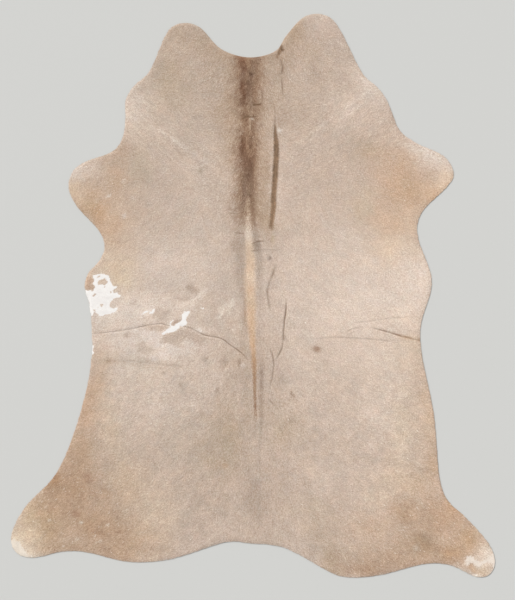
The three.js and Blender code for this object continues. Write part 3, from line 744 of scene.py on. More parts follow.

# Creases and wrinkles: soft troughs where the hair parts, with a thin dark core of painted shade.
# Reach is the half width of the trough, core that of the painted dark line, and shade how dark it is painted.
CREASES = table("name reach depth core shade path", [
    ("long fold beside the spine", 9, 0.9, 3.5, 0.18, [
        (88, 690), (84, 640), (87, 570), (84, 500), (80, 400), (74, 300), (70, 240),
    ]),
    ("thread above the long fold", 4, 0.4, 2.2, 0.5, [
        (72, 745), (78, 722), (83, 698), (84, 670), (82, 640), (84, 600),
    ]),
    ("end of the fold on the nape", 5, 0.5, 6, 0.34, [
        (100, 906), (108, 882), (113, 866), (112, 850), (107, 839), (92, 828),
    ]),
    ("thread below the nape", 4, 0.3, 3.5, 0.38, [
        (104, 846), (108, 824), (110, 798), (112, 765), (114, 736),
    ]),
    ("short fold on the back", 5, 1.0, 3, 0.58, [
        (127, -6), (126, -30), (124, -60), (119, -100), (115, -150), (112, -190), (104, -212), (84, -246),
    ]),
    ("short fold on the loin", 5, 0.8, 3, 0.5, [
        (62, -188), (68, -206), (74, -226), (78, -246), (79, -266), (76, -290), (71, -318), (67, -350),
    ]),
    ("end of the short fold on the loin", 4, 0.3, 3, 0.24, [
        (71, -305), (68, -336), (65, -362), (62, -388),
    ]),
    ("wrinkle below that end", 4, 0.3, 4, 0.3, [
        (54, -378), (62, -394), (76, -409), (92, -428), (106, -450),
    ]),
    ("outer part of the left waist fold", 6, 1.0, 2.2, 0.42, [
        (-622, -146), (-540, -138), (-460, -126), (-416, -116), (-354, -107), (-322, -113), (-290, -120),
    ]),
    ("inner part of the left waist fold", 5, 0.8, 2.4, 0.5, [
        (-290, -112), (-262, -116), (-240, -122), (-220, -131), (-180, -150), (-122, -162), (-88, -185),
        (-50, -212), (-26, -235), (-10, -252),
    ]),
    ("left waist hollow", 14, 0.6, 8, 0.09, [
        (-575, -246), (-469, -250), (-393, -257), (-306, -267), (-240, -272),
    ]),
    ("right waist fold", 6, 1.2, 2.8, 0.5, [
        (434, -118), (470, -127), (520, -141), (559, -153), (600, -163), (638, -171), (672, -178),
    ]),
    ("arched wrinkle before the right waist fold", 4, 0.4, 2.4, 0.3, [
        (346, -142), (362, -131), (382, -124), (404, -119), (424, -118),
    ]),
    ("faint wrinkle under that arch", 3, 0.3, 2, 0.2, [(352, -150), (372, -141), (392, -136)]),
    ("right waist hollow", 10, 0.4, 3, 0.25, [
        (214, -165), (305, -157), (360, -159), (430, -163), (490, -168), (540, -176),
    ]),
    ("end of the right waist hollow", 8, 0.4, 2.6, 0.16, [(516, -166), (560, -172), (612, -176)]),
    ("upper right waist wrinkle", 5, 0.3, 2.5, 0.17, [(361, -102), (430, -98), (500, -88), (596, -79)]),
    ("upper cross wrinkle", 4, 0.5, 3.6, 0.8, [(-8, 727), (-2, 722), (10, 721), (24, 722), (40, 727)]),
    ("lower cross wrinkle", 4, 0.5, 3.4, 0.75, [
        (-56, 660), (-46, 665), (-36, 668), (-31, 673), (-18, 675), (0, 675), (12, 677), (24, 682),
    ]),
    ("wrinkle right of the parting", 3, 0.3, 3, 0.38, [
        (-3, 722), (0, 710), (4, 702), (16, 692), (24, 684), (34, 676),
    ]),
    ("upright wrinkle beside the upper cross wrinkle", 3, 0.3, 2.6, 0.32, [
        (33, 784), (35, 762), (36, 742), (33, 722),
    ]),
    ("parting between the cross wrinkles", 3, 0.3, 3, 0.6, [
        (-14, 740), (-7, 728), (-8, 712), (-10, 700), (-9, 684), (-5, 677),
    ]),
    ("parting below the cross wrinkles", 3, 0.3, 3, 0.6, [
        (-7, 668), (-3, 656), (-6, 644), (-5, 632), (-2, 618),
    ]),
    ("wrinkle beside that parting", 3, 0.3, 3, 0.35, [(6, 674), (10, 662), (10, 640)]),
    ("parting under the nape", 3, 0.3, 2.6, 0.45, [
        (-14, 866), (-10, 848), (-9, 820), (-4, 804), (2, 794), (8, 780),
    ]),
    ("parting further down the withers", 3, 0.3, 2.6, 0.45, [(-2, 778), (-2, 764), (-12, 752), (-8, 742)]),
    ("short wrinkle on the withers", 3, 0.3, 2.6, 0.4, [(0, 774), (8, 768), (22, 770)]),
    ("curved wrinkle under the nape", 3, 0.3, 2.8, 0.45, [
        (-14, 899), (-5, 889), (4, 880), (14, 877), (22, 878), (23, 864),
    ]),
    ("wrinkle left of the withers", 3, 0.3, 3, 0.3, [(-64, 630), (-52, 624), (-42, 620), (-32, 624)]),
    ("thread left of the lower strands", 3, 0.2, 2, 0.3, [(-92, 311), (-72, 310), (-52, 309)]),
    ("wrinkle right of the spine", 4, 0.4, 2.6, 0.5, [
        (-14, 168), (2, 169), (12, 170), (22, 171), (42, 172),
    ]),
    ("faint end of that wrinkle", 4, 0.3, 2, 0.2, [(8, 170), (46, 174), (84, 172), (124, 173)]),
    ("second wrinkle right of the spine", 4, 0.3, 2.8, 0.75, [
        (-14, 192), (0, 197), (9, 202), (20, 205), (34, 205), (52, 204),
    ]),
    ("faint end of the second wrinkle", 4, 0.3, 2, 0.22, [(12, 205), (52, 204), (98, 205)]),
    ("wrinkle left of the spine", 4, 0.3, 2.2, 0.45, [(-78, 240), (-58, 236), (-40, 235), (-26, 236)]),
    ("faint thread down the back", 5, 0.4, 5, 0.36, [
        (92, 130), (84, 108), (74, 80), (62, 48), (54, 17), (57, -8), (62, -43), (66, -70),
    ]),
])


# Tones and smooth random waves

def linear(tone):
    """A tone in sRGB steps as linear light."""
    share = np.asarray(tone, float) / 255
    return np.where(share <= 0.04045, share / 12.92, ((share + 0.055) / 1.055) ** 2.4)


WAVE_CELLS = 256


def waves(x, y, size, seed):
    """Smooth random waves of about this size, from -1 to 1."""
    heights = np.random.default_rng(seed).uniform(-1, 1, (WAVE_CELLS, WAVE_CELLS))
    turn = 0.7 * seed
    u = (x * math.cos(turn) + y * math.sin(turn)) / size
    v = (y * math.cos(turn) - x * math.sin(turn)) / size
    column, row = np.floor(u).astype(int), np.floor(v).astype(int)
    across, up = u - column, v - row
    across, up = across**2 * (3 - 2 * across), up**2 * (3 - 2 * up)
    column, row = column % WAVE_CELLS, row % WAVE_CELLS
    right, above = (column + 1) % WAVE_CELLS, (row + 1) % WAVE_CELLS
    low = heights[row, column] * (1 - across) + heights[row, right] * across
    high = heights[above, column] * (1 - across) + heights[above, right] * across
    return low * (1 - up) + high * up


# Sums of waves: how much there is of each, its size and its seed
WAVE_SUMS = {
    "thickness": ((0.18, 70, 1), (0.1, 26, 2)),
    "drift across": ((14, 55, 3),),
    "drift along": ((14, 55, 4),),
    "frays": ((0.9, 5, 13), (0.5, 13, 14)),
    "cloud edge": ((0.7, 16, 51), (0.6, 6, 52)),
    "streak": ((0.6, 24, 53),),
    "wisps": ((0.05, 8, 17),),
    "blotches": ((0.5, 17, 20), (0.5, 6.5, 21)),
    "broad mottling": ((0.022, 90, 8), (0.034, 34, 9)),
    "fine mottling": ((0.036, 14, 10),),
    "cloudy mottling": ((0.055, 20, 18), (0.04, 9, 19)),
    "warmth": ((0.012, 60, 11), (0.013, 22, 12), (0.011, 9, 23)),
    "pinkness": ((0.004, 24, 24), (0.008, 10, 25)),
    "lie of the hair": ((0.2, 120, 31), (0.16, 38, 32)),
    "overhang": ((0.45, 9, 34),),
    "grain": ((0.05, 5, 36), (0.03, 9, 37)),
    "marks": ((0.4, 6, 38), (0.28, 22, 39)),
    "toes": ((0.07, 13, 27),),
}
# Waves drawn out along the hair: their length, their width and their seed
LONG_WAVES = {
    "hair": (34, 5, 5),
    "stripe": (24, 5, 15),
    "strokes": (15, 3.5, 16),
    "wrinkle_shading": (32, 4.5, 26),
}
SPOT_SEED = 7


def wave_sum(name, x, y, start=0.0):
    """The start with the waves of this name added."""
    total = start
    for amount, size, seed in WAVE_SUMS[name]:
        total = total + amount * waves(x, y, size, seed)
    return total


def smoothstep(low, high, value):
    share = np.clip((value - low) / (high - low), 0, 1)
    return share**2 * (3 - 2 * share)


def hump(value, middle, spread):
    """1 at the middle, falling off smoothly to both sides."""
    return np.exp(-(((value - middle) / spread) ** 2))


def patch(x, y, place):
    """1 at the place, falling off smoothly all round."""
    (middle_x, middle_y), (reach_x, reach_y) = place
    return np.exp(-(((x - middle_x) / reach_x) ** 2 + ((y - middle_y) / reach_y) ** 2))


# Lines and outlines

def smooth_path(corners, step, closed=False):
    """A Catmull-Rom curve through the corners, as points this far apart."""
    corners = np.asarray(corners, float)
    if closed:
        padded = np.concatenate([corners[-1:], corners, corners[:2]])
    else:
        padded = np.concatenate([2 * corners[:1] - corners[1:2], corners, 2 * corners[-1:] - corners[-2:-1]])
    share = np.linspace(0, 1, 24, endpoint=False)[:, None]
    stretches = []
    for before, a, b, after in zip(padded, padded[1:], padded[2:], padded[3:]):
        stretches.append(
            a
            + 0.5 * share * (b - before)
            + share**2 * (before - 2.5 * a + 2 * b - 0.5 * after)
            + share**3 * (1.5 * a - 0.5 * before - 1.5 * b + 0.5 * after)
        )
    curve = np.concatenate([*stretches, padded[-2:-1]])
    along = np.concatenate([[0], np.cumsum(np.linalg.norm(np.diff(curve, axis=0), axis=1))])
    count = max(round(along[-1] / step), 2)
    at = np.linspace(0, along[-1], count + 1)
    return np.stack([np.interp(at, along, curve[:, k]) for k in (0, 1)], 1)


def path_distance(path, x, y):
    """Each point's distance to the path, above 0 on its left, and how far along the path it lies."""
    steps = np.linalg.norm(np.diff(path, axis=0), axis=1)
    begins = np.concatenate([[0], np.cumsum(steps)])
    nearest, signed, along = np.full(x.shape, np.inf), np.zeros(x.shape), np.zeros(x.shape)
    for (ax, ay), (bx, by), length, begin in zip(path, path[1:], steps, begins):
        ux, uy = (bx - ax) / length, (by - ay) / length
        forward = np.clip((x - ax) * ux + (y - ay) * uy, 0, length)
        distance = np.hypot(x - ax - forward * ux, y - ay - forward * uy)
        closer = distance < nearest
        nearest = np.where(closer, distance, nearest)
        side = np.where(ux * (y - ay) - uy * (x - ax) < 0, -1, 1)
        signed = np.where(closer, side * distance, signed)
        along = np.where(closer, begin + forward, along)
    return signed, along


def depth_inside(corners, x, y):
    """Each point's distance to a closed outline, above 0 inside it."""
    corners = np.asarray(corners, float)
    nearest, inside = np.full(x.shape, np.inf), np.zeros(x.shape, bool)
    for (ax, ay), (bx, by) in zip(corners, np.roll(corners, -1, axis=0)):
        length = math.hypot(bx - ax, by - ay)
        ux, uy = (bx - ax) / length, (by - ay) / length
        forward = np.clip((x - ax) * ux + (y - ay) * uy, 0, length)
        nearest = np.minimum(nearest, np.hypot(x - ax - forward * ux, y - ay - forward * uy))
        if ay != by:
            crossed = (ay > y) != (by > y)
            inside ^= crossed & (x < ax + (bx - ax) * (y - ay) / (by - ay))
    return np.where(inside, nearest, -nearest)


def near_line(line, x, y, margin):
    """Numbers of the points that lie in the box round a line, widened by this margin."""
    (left, low), (right, high) = line.min(0) - margin, line.max(0) + margin
    return np.flatnonzero((x > left) & (x < right) & (y > low) & (y < high))


def signed_area(loop):
    """Area inside a closed loop, above 0 where it runs anticlockwise."""
    x, y = loop.T
    return (x * np.roll(y, -1) - y * np.roll(x, -1)).sum() / 2


def outward_of(loop):
    """At each point of an anticlockwise loop, the direction straight out of it."""
    ahead = np.roll(loop, -1, axis=0) - np.roll(loop, 1, axis=0)
    ahead /= np.linalg.norm(ahead, axis=1)[:, None]
    return np.stack([ahead[:, 1], -ahead[:, 0]], 1)


def offset_loop(loop, inset):
    """The closed loop moved inwards by this much."""
    return loop - inset * outward_of(loop)


# The hide's outline, read from the frame

FLAT = 0.001    # height below which a corner of the solid lies on the floor


def underside_loop(node):
    """The corners round the solid's flat underside in order, anticlockwise, in millimetres."""
    mesh = node.data
    mesh.calc_loop_triangles()
    places = [tuple(round(c / MM, 3) for c in v.co) for v in mesh.vertices]
    rims = set()
    for triangle in mesh.loop_triangles:
        corners = [places[i] for i in triangle.vertices]
        if any(z > FLAT for _, _, z in corners):
            continue
        for edge in zip(corners, corners[1:] + corners[:1]):
            if edge[::-1] in rims:
                rims.remove(edge[::-1])
            else:
                rims.add(edge)
    after = dict(rims)
    loop = [min(after)]
    while after[loop[-1]] != loop[0]:
        loop.append(after[loop[-1]])
    loop = np.array(loop)[:, :2]
    return loop if signed_area(loop) > 0 else loop[::-1]


FOOT = underside_loop(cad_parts["hide"])
RIM = offset_loop(smooth_path(FOOT, 1.0, closed=True)[:-1], -FOOT_INSET)
HIDE_AREA = signed_area(RIM)

FIELD_CELL = 4.0     # of the grid that holds the distance to the edge
FIELD_MARGIN = 60.0  # distances are known this near the edge, and clamped beyond


def edge_field():
    """A grid of distances to the rim, above 0 inside the hide, and its lowest corner."""
    low = RIM.min(0) - FIELD_MARGIN
    columns, rows = np.ceil((RIM.max(0) + FIELD_MARGIN - low) / FIELD_CELL).astype(int) + 1
    xs, ys = low[0] + FIELD_CELL * np.arange(columns), low[1] + FIELD_CELL * np.arange(rows)
    field = np.full((rows, columns), FIELD_MARGIN)
    reach = int(FIELD_MARGIN / FIELD_CELL)
    for x, y in RIM:
        column, row = int((x - low[0]) / FIELD_CELL), int((y - low[1]) / FIELD_CELL)
        some_rows = slice(max(row - reach, 0), row + reach + 1)
        some_columns = slice(max(column - reach, 0), column + reach + 1)
        distance = np.hypot(xs[some_columns][None, :] - x, ys[some_rows][:, None] - y)
        window = field[some_rows, some_columns]
        np.minimum(window, distance, out=window)
    after = np.roll(RIM, -1, axis=0)
    for row, y in enumerate(ys):
        a, b = RIM[:, 1], after[:, 1]
        cut = np.flatnonzero((a > y) != (b > y))
        crossings = np.sort(RIM[cut, 0] + (after[cut, 0] - RIM[cut, 0]) * (y - a[cut]) / (b[cut] - a[cut]))
        outside = np.searchsorted(crossings, xs) % 2 == 0
        field[row, outside] *= -1
    return field, low


EDGE_FIELD, FIELD_LOW = edge_field()


def edge_distance(x, y):
    """Distance to the edge of the hide, above 0 on it."""
    u, v = (x - FIELD_LOW[0]) / FIELD_CELL, (y - FIELD_LOW[1]) / FIELD_CELL
    rows, columns = EDGE_FIELD.shape
    column = np.clip(np.floor(u).astype(int), 0, columns - 2)
    row = np.clip(np.floor(v).astype(int), 0, rows - 2)
    across, up = np.clip(u - column, 0, 1), np.clip(v - row, 0, 1)
    low = EDGE_FIELD[row, column] * (1 - across) + EDGE_FIELD[row, column + 1] * across
    high = EDGE_FIELD[row + 1, column] * (1 - across) + EDGE_FIELD[row + 1, column + 1] * across
    return low * (1 - up) + high * up


# Shape of the root mat

# Section of the edge: distance in from the rim, and height as a share of the thickness there
EDGE_SECTION = {"inset": (0, 1.5, 3.5, 7, 12), "height": (0.42, 0.6, 0.78, 0.93, 1)}
# Section of a crease: distance as a share of its reach, and lift as a share of its depth
CREASE_SECTION = {"offset": (0, 0.3, 0.6, 1, 1.35, 1.8, 2.3), "lift": (-1, -0.86, -0.5, -0.05, 0.22, 0.1, 0)}
CREASE_REACH = CREASE_SECTION["offset"][-1]
CREASE_FADE = 40        # length over which a crease runs out
CREASE_UNEVENNESS, UNEVEN_SIZE = 0.5, 28
SHADED = 4              # times its core, at which a crease's painted dark line has faded
UNSHADED = 9.0          # distance from a painted dark line, as a share of its core, that stands for none near

for index, crease in enumerate(CREASES):
    crease["line"] = smooth_path(crease["path"], CREASE_STEP)
    crease["seed"] = CREASE_SEED + index


def crease_reading(crease, x, y):
    """Signed distance to a crease, and its strength there."""
    line = crease["line"]
    length = np.linalg.norm(np.diff(line, axis=0), axis=1).sum()
    offset, along = path_distance(line, x, y)
    fade = min(CREASE_FADE, length / 3)
    strength = smoothstep(0, fade, np.minimum(along, length - along))
    uneven = 1 + CREASE_UNEVENNESS * waves(x, y, UNEVEN_SIZE, crease["seed"])
    return offset, strength * uneven


def crease_lift(crease, offset, strength):
    lift = np.interp(np.abs(offset) / crease["reach"], CREASE_SECTION["offset"], CREASE_SECTION["lift"])
    return crease["depth"] * lift * strength


def coat_thickness(x):
    return FLANK_THICKNESS + (BACK_THICKNESS - FLANK_THICKNESS) * hump(x, 0, BACK_SPREAD)


def mat_height(x, y):
    """Height of the root mat, which the locks lie on, without its creases."""
    to_edge = edge_distance(x, y)
    share = np.interp(to_edge, EDGE_SECTION["inset"], EDGE_SECTION["height"])
    past = np.clip(-to_edge / DROOP, 0, 1)
    swell = wave_sum("thickness", x, y) * smoothstep(0, EDGE_SECTION["inset"][-1], to_edge)
    full = coat_thickness(x) - HAIR_RELIEF + swell
    return full * share * (1 - past)


# Regions of the coat, each as a share from 0 to 1, and streaks along the lie of its hair

# A span is the stretch of y, or of distance from the spine, over which a share rises from 0 to 1.
# Those that end in BACK or END are stretches of -y.
STRIPE_X, STRIPE_SPREAD, STRIPE_SPAN = -15, 50, (220, 300)
SHOULDER_SPAN, NAPE_END, SHOULDER_OUT = (250, 340), (-840, -730), (50, 150)
HIND_LEG_BACK, HIND_LEG_OUT = (350, 750), (250, 550)
FORELEG_SPAN, FORELEG_OUT = (50, 250), (350, 600)
FLANK_LEAN, SHOULDER_LEAN, STRIPE_LEAN = -45, 38, 34    # degrees of the streaks from straight outwards
SPINE_SPREAD = 90        # distance from the spine at which the hair no longer lies straight back
PARTING_X = -10          # where the hair of the stripe parts
SIDE_SHIFT = 50          # wavelengths by which the waves of the left side differ from the right's


def shoulder_share(x, y):
    """1 on the shoulders, where the hair turns forwards."""
    out = np.abs(x)
    along = smoothstep(*SHOULDER_SPAN, y - 0.5 * out) * smoothstep(*NAPE_END, -y)
    return along * smoothstep(*SHOULDER_OUT, out)


def hind_leg_share(x, y):
    return smoothstep(*HIND_LEG_BACK, -y) * smoothstep(*HIND_LEG_OUT, np.abs(x))


def foreleg_share(x, y):
    return smoothstep(*FORELEG_OUT, np.abs(x)) * smoothstep(*FORELEG_SPAN, y)


def stripe_share(x, y):
    """1 along the dark stripe, fading out to its sides and towards the waist."""
    return hump(x, STRIPE_X, STRIPE_SPREAD) * smoothstep(*STRIPE_SPAN, y)


def slanted(x, y, lean, length, width, seed):
    """Waves drawn out along lines that lean this many degrees forwards of straight outwards."""
    lean = math.radians(lean)
    out = np.abs(x)
    along = out * math.cos(lean) + y * math.sin(lean)
    across = out * math.sin(lean) - y * math.cos(lean)
    return waves(along / length + SIDE_SHIFT * (x < 0), across / width, 1, seed)


def streaky(x, y, length, width, seed):
    """Waves drawn out along the lie of the hair."""
    flank = slanted(x, y, FLANK_LEAN, length, width, seed)
    shoulder = slanted(x, y, SHOULDER_LEAN, length, width, seed)
    spine = waves(x / width, y / length, 1, seed + 1)
    near = hump(x, 0, SPINE_SPREAD)
    turned = shoulder_share(x, y)
    return (flank * (1 - turned) + shoulder * turned) * (1 - near) + spine * near


def parted_streaks(x, y, length, width, seed):
    """Waves drawn out along the hair of the stripe, which parts on the spine and leans outwards."""
    lean = math.radians(STRIPE_LEAN)
    aside = np.abs(x - PARTING_X)
    along = aside * math.sin(lean) - y * math.cos(lean)
    across = aside * math.cos(lean) + y * math.sin(lean)
    return waves(along / length + SIDE_SHIFT * (x < PARTING_X), across / width, 1, seed)


# Colour of the coat

BAND_EDGE = (0.4, 1.6)    # from full to none, as shares of a band's half width
SPOT_EDGE = (0.5, 1.3)    # and of a spot's reach
SPOT_LIMIT = 2.5          # times its reach, beyond which noise can't carry a spot
STREAK_MARGIN = 20
MARK_MARGIN = 25
BLOTCHED = (-180, -290), (190, 170)    # middle and reach of the most blotched place
BLOTCH_EDGE = (0.26, 0.56)
RIPPLED_X, RIPPLED_SPREAD, RIPPLED_SPAN, RIPPLED_END = -5, 90, (150, 220), (-800, -740)
# How mottled the coat is on the waist, and how much more so on the neck and the hind half
WAIST_CLOUDS, NECK_CLOUDS, HIND_CLOUDS = 0.15, 0.45, 0.85
NECK_SPAN, HIND_BACK = (450, 750), (150, 380)
# How much lighter or darker these make the coat, the ripples being painted shade and light of fine wrinkles,
# and how much redder the stripe is
STREAK_SHADE, SHOULDER_SHADE, WISP_SHADE, BLOTCH_SHADE, RIPPLE_SHADE = 0.03, 0.045, 0.13, 0.12, 0.045
STRIPE_WARMTH = 0.03


def lay_on(colour, near, tone, amount):
    """Takes the colours of some points to a linear tone by this amount."""
    colour[near] += (tone - colour[near]) * amount[:, None]


def area_mix(colour, x, y, area):
    turn = math.radians(area.get("turn", 0))
    dx, dy = x - area["x"], y - area["y"]
    along = (dx * math.cos(turn) + dy * math.sin(turn)) / area["reach"][0]
    across = (dy * math.cos(turn) - dx * math.sin(turn)) / area["reach"][1]
    lay_on(colour, slice(None), linear(area["tone"]), area["amount"] * np.exp(-(along**2 + across**2)))


def band_mix(colour, x, y, band, frays):
    places = band["stations"][::-1]
    ys = [place["y"] for place in places]
    near = np.flatnonzero((y > ys[0]) & (y < ys[-1]))
    px, py = x[near], y[near]

    def along_band(values):
        return np.interp(py, ys, values)

    middle = along_band([place["x"] for place in places])
    left, right = np.transpose([np.broadcast_to(place["half"], 2) for place in places])
    half = np.where(px < middle, along_band(left), along_band(right))
    tone = np.stack([along_band(channel) for channel in linear([place["tone"] for place in places]).T], 1)
    offset = np.abs(px - middle) / half + band["streaky"] * frays[near]
    amount = along_band([place["amount"] for place in places])
    lay_on(colour, near, tone, amount * (1 - smoothstep(*BAND_EDGE, offset)))


def cloud_mix(colour, x, y, cloud):
    corners = np.array(cloud["edge"], float)
    soft, ragged = cloud["soft"], cloud["ragged"]
    near = near_line(corners, x, y, soft + ragged)
    px, py = x[near], y[near]
    depth = depth_inside(corners, px, py) + ragged * wave_sum("cloud edge", px, py)
    lay_on(colour, near, linear(cloud["tone"]), cloud["amount"] * smoothstep(-soft, soft, depth))


def streak_mix(colour, x, y, streak):
    line = np.array(streak["path"], float)
    near = near_line(line, x, y, STREAK_MARGIN)
    px, py = x[near], y[near]
    offset, _ = path_distance(line, px, py)
    fall = hump(offset, 0, streak["reach"]) * wave_sum("streak", px, py, 0.6)
    lay_on(colour, near, linear(TONES[streak["tone"]]), streak["amount"] * np.clip(fall, 0, 1))


def spot_mix(colour, x, y, spot):
    dx, dy = (x - spot["x"]) / spot["reach"][0], (y - spot["y"]) / spot["reach"][1]
    near = np.flatnonzero(np.maximum(np.abs(dx), np.abs(dy)) < SPOT_LIMIT)
    noise = waves(x[near], y[near], spot["reach"][1], SPOT_SEED)
    out = np.hypot(dx[near], dy[near]) + spot["ragged"] * noise
    lay_on(colour, near, linear(spot["tone"]), spot["amount"] * (1 - smoothstep(*SPOT_EDGE, out)))


def blotches(x, y, cloudiness):
    """Small darker blotches, thickest between the left waist and the tail."""
    share = patch(x, y, BLOTCHED) + 0.2 * cloudiness
    return share * (smoothstep(*BLOTCH_EDGE, wave_sum("blotches", x, y)) - 0.1)


def wrinkle_shading(x, y):
    """Painted shade and light of fine level wrinkles across the stripe and on both its sides."""
    length, width, seed = LONG_WAVES["wrinkle_shading"]
    share = hump(x, RIPPLED_X, RIPPLED_SPREAD) * smoothstep(*RIPPLED_SPAN, y) * smoothstep(*RIPPLED_END, -y)
    return share * waves(x / length, y / width, 1, seed)


def mottling(x, y, streaks):
    """How much lighter than its tone the coat is here and there."""
    mottle = wave_sum("broad mottling", x, y) + STREAK_SHADE * streaks
    mottle = wave_sum("fine mottling", x, y, mottle)
    cloudiness = WAIST_CLOUDS + NECK_CLOUDS * smoothstep(*NECK_SPAN, y)
    cloudiness += HIND_CLOUDS * smoothstep(*HIND_BACK, -y)
    mottle += cloudiness * wave_sum("cloudy mottling", x, y)
    shoulder = STREAK_SHADE * streaks + SHOULDER_SHADE * smoothstep(*SHOULDER_OUT, x)
    mottle += shoulder_share(x, y) * shoulder
    # painted shade and light of the fine wrinkles
    return mottle - (BLOTCH_SHADE * blotches(x, y, cloudiness) + RIPPLE_SHADE * wrinkle_shading(x, y))


def hue_drift(x, y):
    """Slow changes of hue, as factors for red, green and blue."""
    warmth = wave_sum("warmth", x, y, STRIPE_WARMTH * stripe_share(x, y))
    pinkness = wave_sum("pinkness", x, y)
    return 1 + (warmth[:, None] * np.array([1, 0, -1]) + pinkness[:, None] * np.array([0.5, -1, 0.5]))


def coat_colour(x, y):
    """Linear colour of the coat's base, without marks and creases."""
    colour = np.broadcast_to(linear(TONES["coat"]), (*x.shape, 3)).copy()
    moved_x, moved_y = wave_sum("drift across", x, y, x), wave_sum("drift along", x, y, y)
    for area in AREAS:
        area_mix(colour, moved_x, moved_y, area)
    streaks = streaky(x, y, *LONG_WAVES["hair"])
    frays = wave_sum("frays", x, y, 0.3 * streaks)
    for band in BANDS:
        band_mix(colour, x, y, band, frays)
    for cloud in CLOUDS:
        cloud_mix(colour, x, y, cloud)
    for streak in STREAKS:
        streak_mix(colour, x, y, streak)
    for spot in SPOTS:
        spot_mix(colour, x, y, spot)
    wisps = wave_sum("wisps", x, y, WISP_SHADE * parted_streaks(x, y, *LONG_WAVES["stripe"]))
    colour = colour * (1 + (stripe_share(x, y) * wisps)[:, None] * np.array([0.9, 1, 1.1]))
    return colour * (1 + mottling(x, y, streaks)[:, None]) * hue_drift(x, y)


def mark_reading(x, y):
    """Distance inside the nearest mark, below 0 outside, and that mark's linear tone."""
    depth = np.full(x.shape, -100.0)
    tone = np.broadcast_to(linear(TONES["white"]), (*x.shape, 3)).copy()
    for mark in MARKS:
        corners = np.array(mark["edge"], float)
        near = near_line(corners, x, y, MARK_MARGIN)
        px, py = x[near], y[near]
        found = depth_inside(corners, px, py)
        for island in mark.get("islands", ()):
            found = np.minimum(found, -depth_inside(island, px, py))
        found /= mark["soft"]
        closer = found > depth[near]
        depth[near[closer]] = found[closer]
        tone[near[closer]] = linear(TONES[mark["tone"]])
    return depth, tone


# Meshes

def mesh_object(name, places, faces, material):
    """A mesh piece from places in millimetres and an array of triangles."""
    mesh = bpy.data.meshes.new(name)
    mesh.vertices.add(len(places))
    mesh.vertices.foreach_set("co", (places * MM).astype(np.float32).ravel())
    mesh.loops.add(faces.size)
    mesh.loops.foreach_set("vertex_index", faces.astype(np.int32).ravel())
    mesh.polygons.add(len(faces))
    mesh.polygons.foreach_set("loop_start", np.arange(0, faces.size, 3, dtype=np.int32))
    mesh.polygons.foreach_set("use_smooth", np.ones(len(faces), bool))
    mesh.update(calc_edges=True)
    mesh.validate()
    mesh.materials.append(material)
    piece = bpy.data.objects.new(name, mesh)
    bpy.context.scene.collection.objects.link(piece)
    return piece


def lay_map(piece):
    """A flat map of the piece seen from above, over its own width and length."""
    mesh = piece.data
    places = np.empty(len(mesh.vertices) * 3, np.float32)
    mesh.vertices.foreach_get("co", places)
    flat = places.reshape(-1, 3)[:, :2]
    share = (flat - flat.min(0)) / np.ptp(flat, axis=0)
    corners = np.empty(len(mesh.loops), np.int32)
    mesh.loops.foreach_get("vertex_index", corners)
    layer = mesh.uv_layers.new(name="OFBake")
    layer.uv.foreach_set("vector", share[corners].astype(np.float32).ravel())


def store_looks(mesh, tint, mark_tint, **numbers):
    """Stores the colour and the mark's colour of each point, and what the material needs to mix them."""
    for name, colour in (("tint", tint), ("mark_tint", mark_tint)):
        layer = mesh.color_attributes.new(name, "FLOAT_COLOR", "POINT")
        rgba = np.ones((len(mesh.vertices), 4), np.float32)
        rgba[:, :3] = colour.reshape(-1, 3)
        layer.data.foreach_set("color", rgba.ravel())
    for name, values in numbers.items():
        layer = mesh.attributes.new(name, "FLOAT", "POINT")
        layer.data.foreach_set("value", values.astype(np.float32).ravel())


THIN_CELL = 1.0
THIN_MARGIN = 20


def thinned(groups):
    """The points of all groups in order, without those of a group that lie too near to an earlier group's."""
    low = RIM.min(0) - THIN_MARGIN
    columns, rows = np.ceil((RIM.max(0) + THIN_MARGIN - low) / THIN_CELL).astype(int)
    taken = np.zeros((rows, columns), bool)
    kept = []
    for points, gap in groups:
        reach = int(math.ceil(gap / THIN_CELL))
        close = np.zeros_like(taken)
        for up in range(-reach, reach + 1):
            for across in range(-reach, reach + 1):
                if math.hypot(up, across) * THIN_CELL <= gap:
                    close |= np.roll(taken, (up, across), (0, 1))
        column, row = ((points - low) / THIN_CELL).astype(int).T
        clear = ~close[row, column]
        points, row, column = points[clear], row[clear], column[clear]
        _, first = np.unique(row * columns + column, return_index=True)
        kept.append(points[first])
        taken[row[first], column[first]] = True
    return np.concatenate(kept)


INSIDE_ONLY, MERGE_DISTANCE = 1, 1e-4    # how the triangulation treats the outline and points that coincide


def triangles_inside(loop, points):
    """Delaunay triangles over the loop and the points inside it, as (places, faces)."""
    corners = [Vector(p) for p in loop] + [Vector(p) for p in points]
    found = delaunay_2d_cdt(corners, [], [list(range(len(loop)))], INSIDE_ONLY, MERGE_DISTANCE)
    return np.array([list(v) for v in found[0]]), np.array(found[2])


def hexagonal(step, jitter, seed):
    """Points in staggered rows over the whole hide, each moved a little."""
    (left, low), (right, high) = RIM.min(0), RIM.max(0)
    rise = step * math.sqrt(3) / 2
    counts = int((right - left) / step) + 2, int((high - low) / rise) + 2
    columns, rows = np.meshgrid(*map(np.arange, counts))
    x = left + step * (columns + 0.5 * (rows % 2))
    y = low + rise * rows
    points = np.stack([x.ravel(), y.ravel()], 1)
    return points + np.random.default_rng(seed).uniform(-jitter * step, jitter * step, points.shape)


def inside_of(points, inset):
    return points[edge_distance(*points.T) > inset]


def ring(inset, step):
    """Points along the edge of the hide, this far in."""
    return smooth_path(offset_loop(RIM, inset), step, closed=True)[:-1]


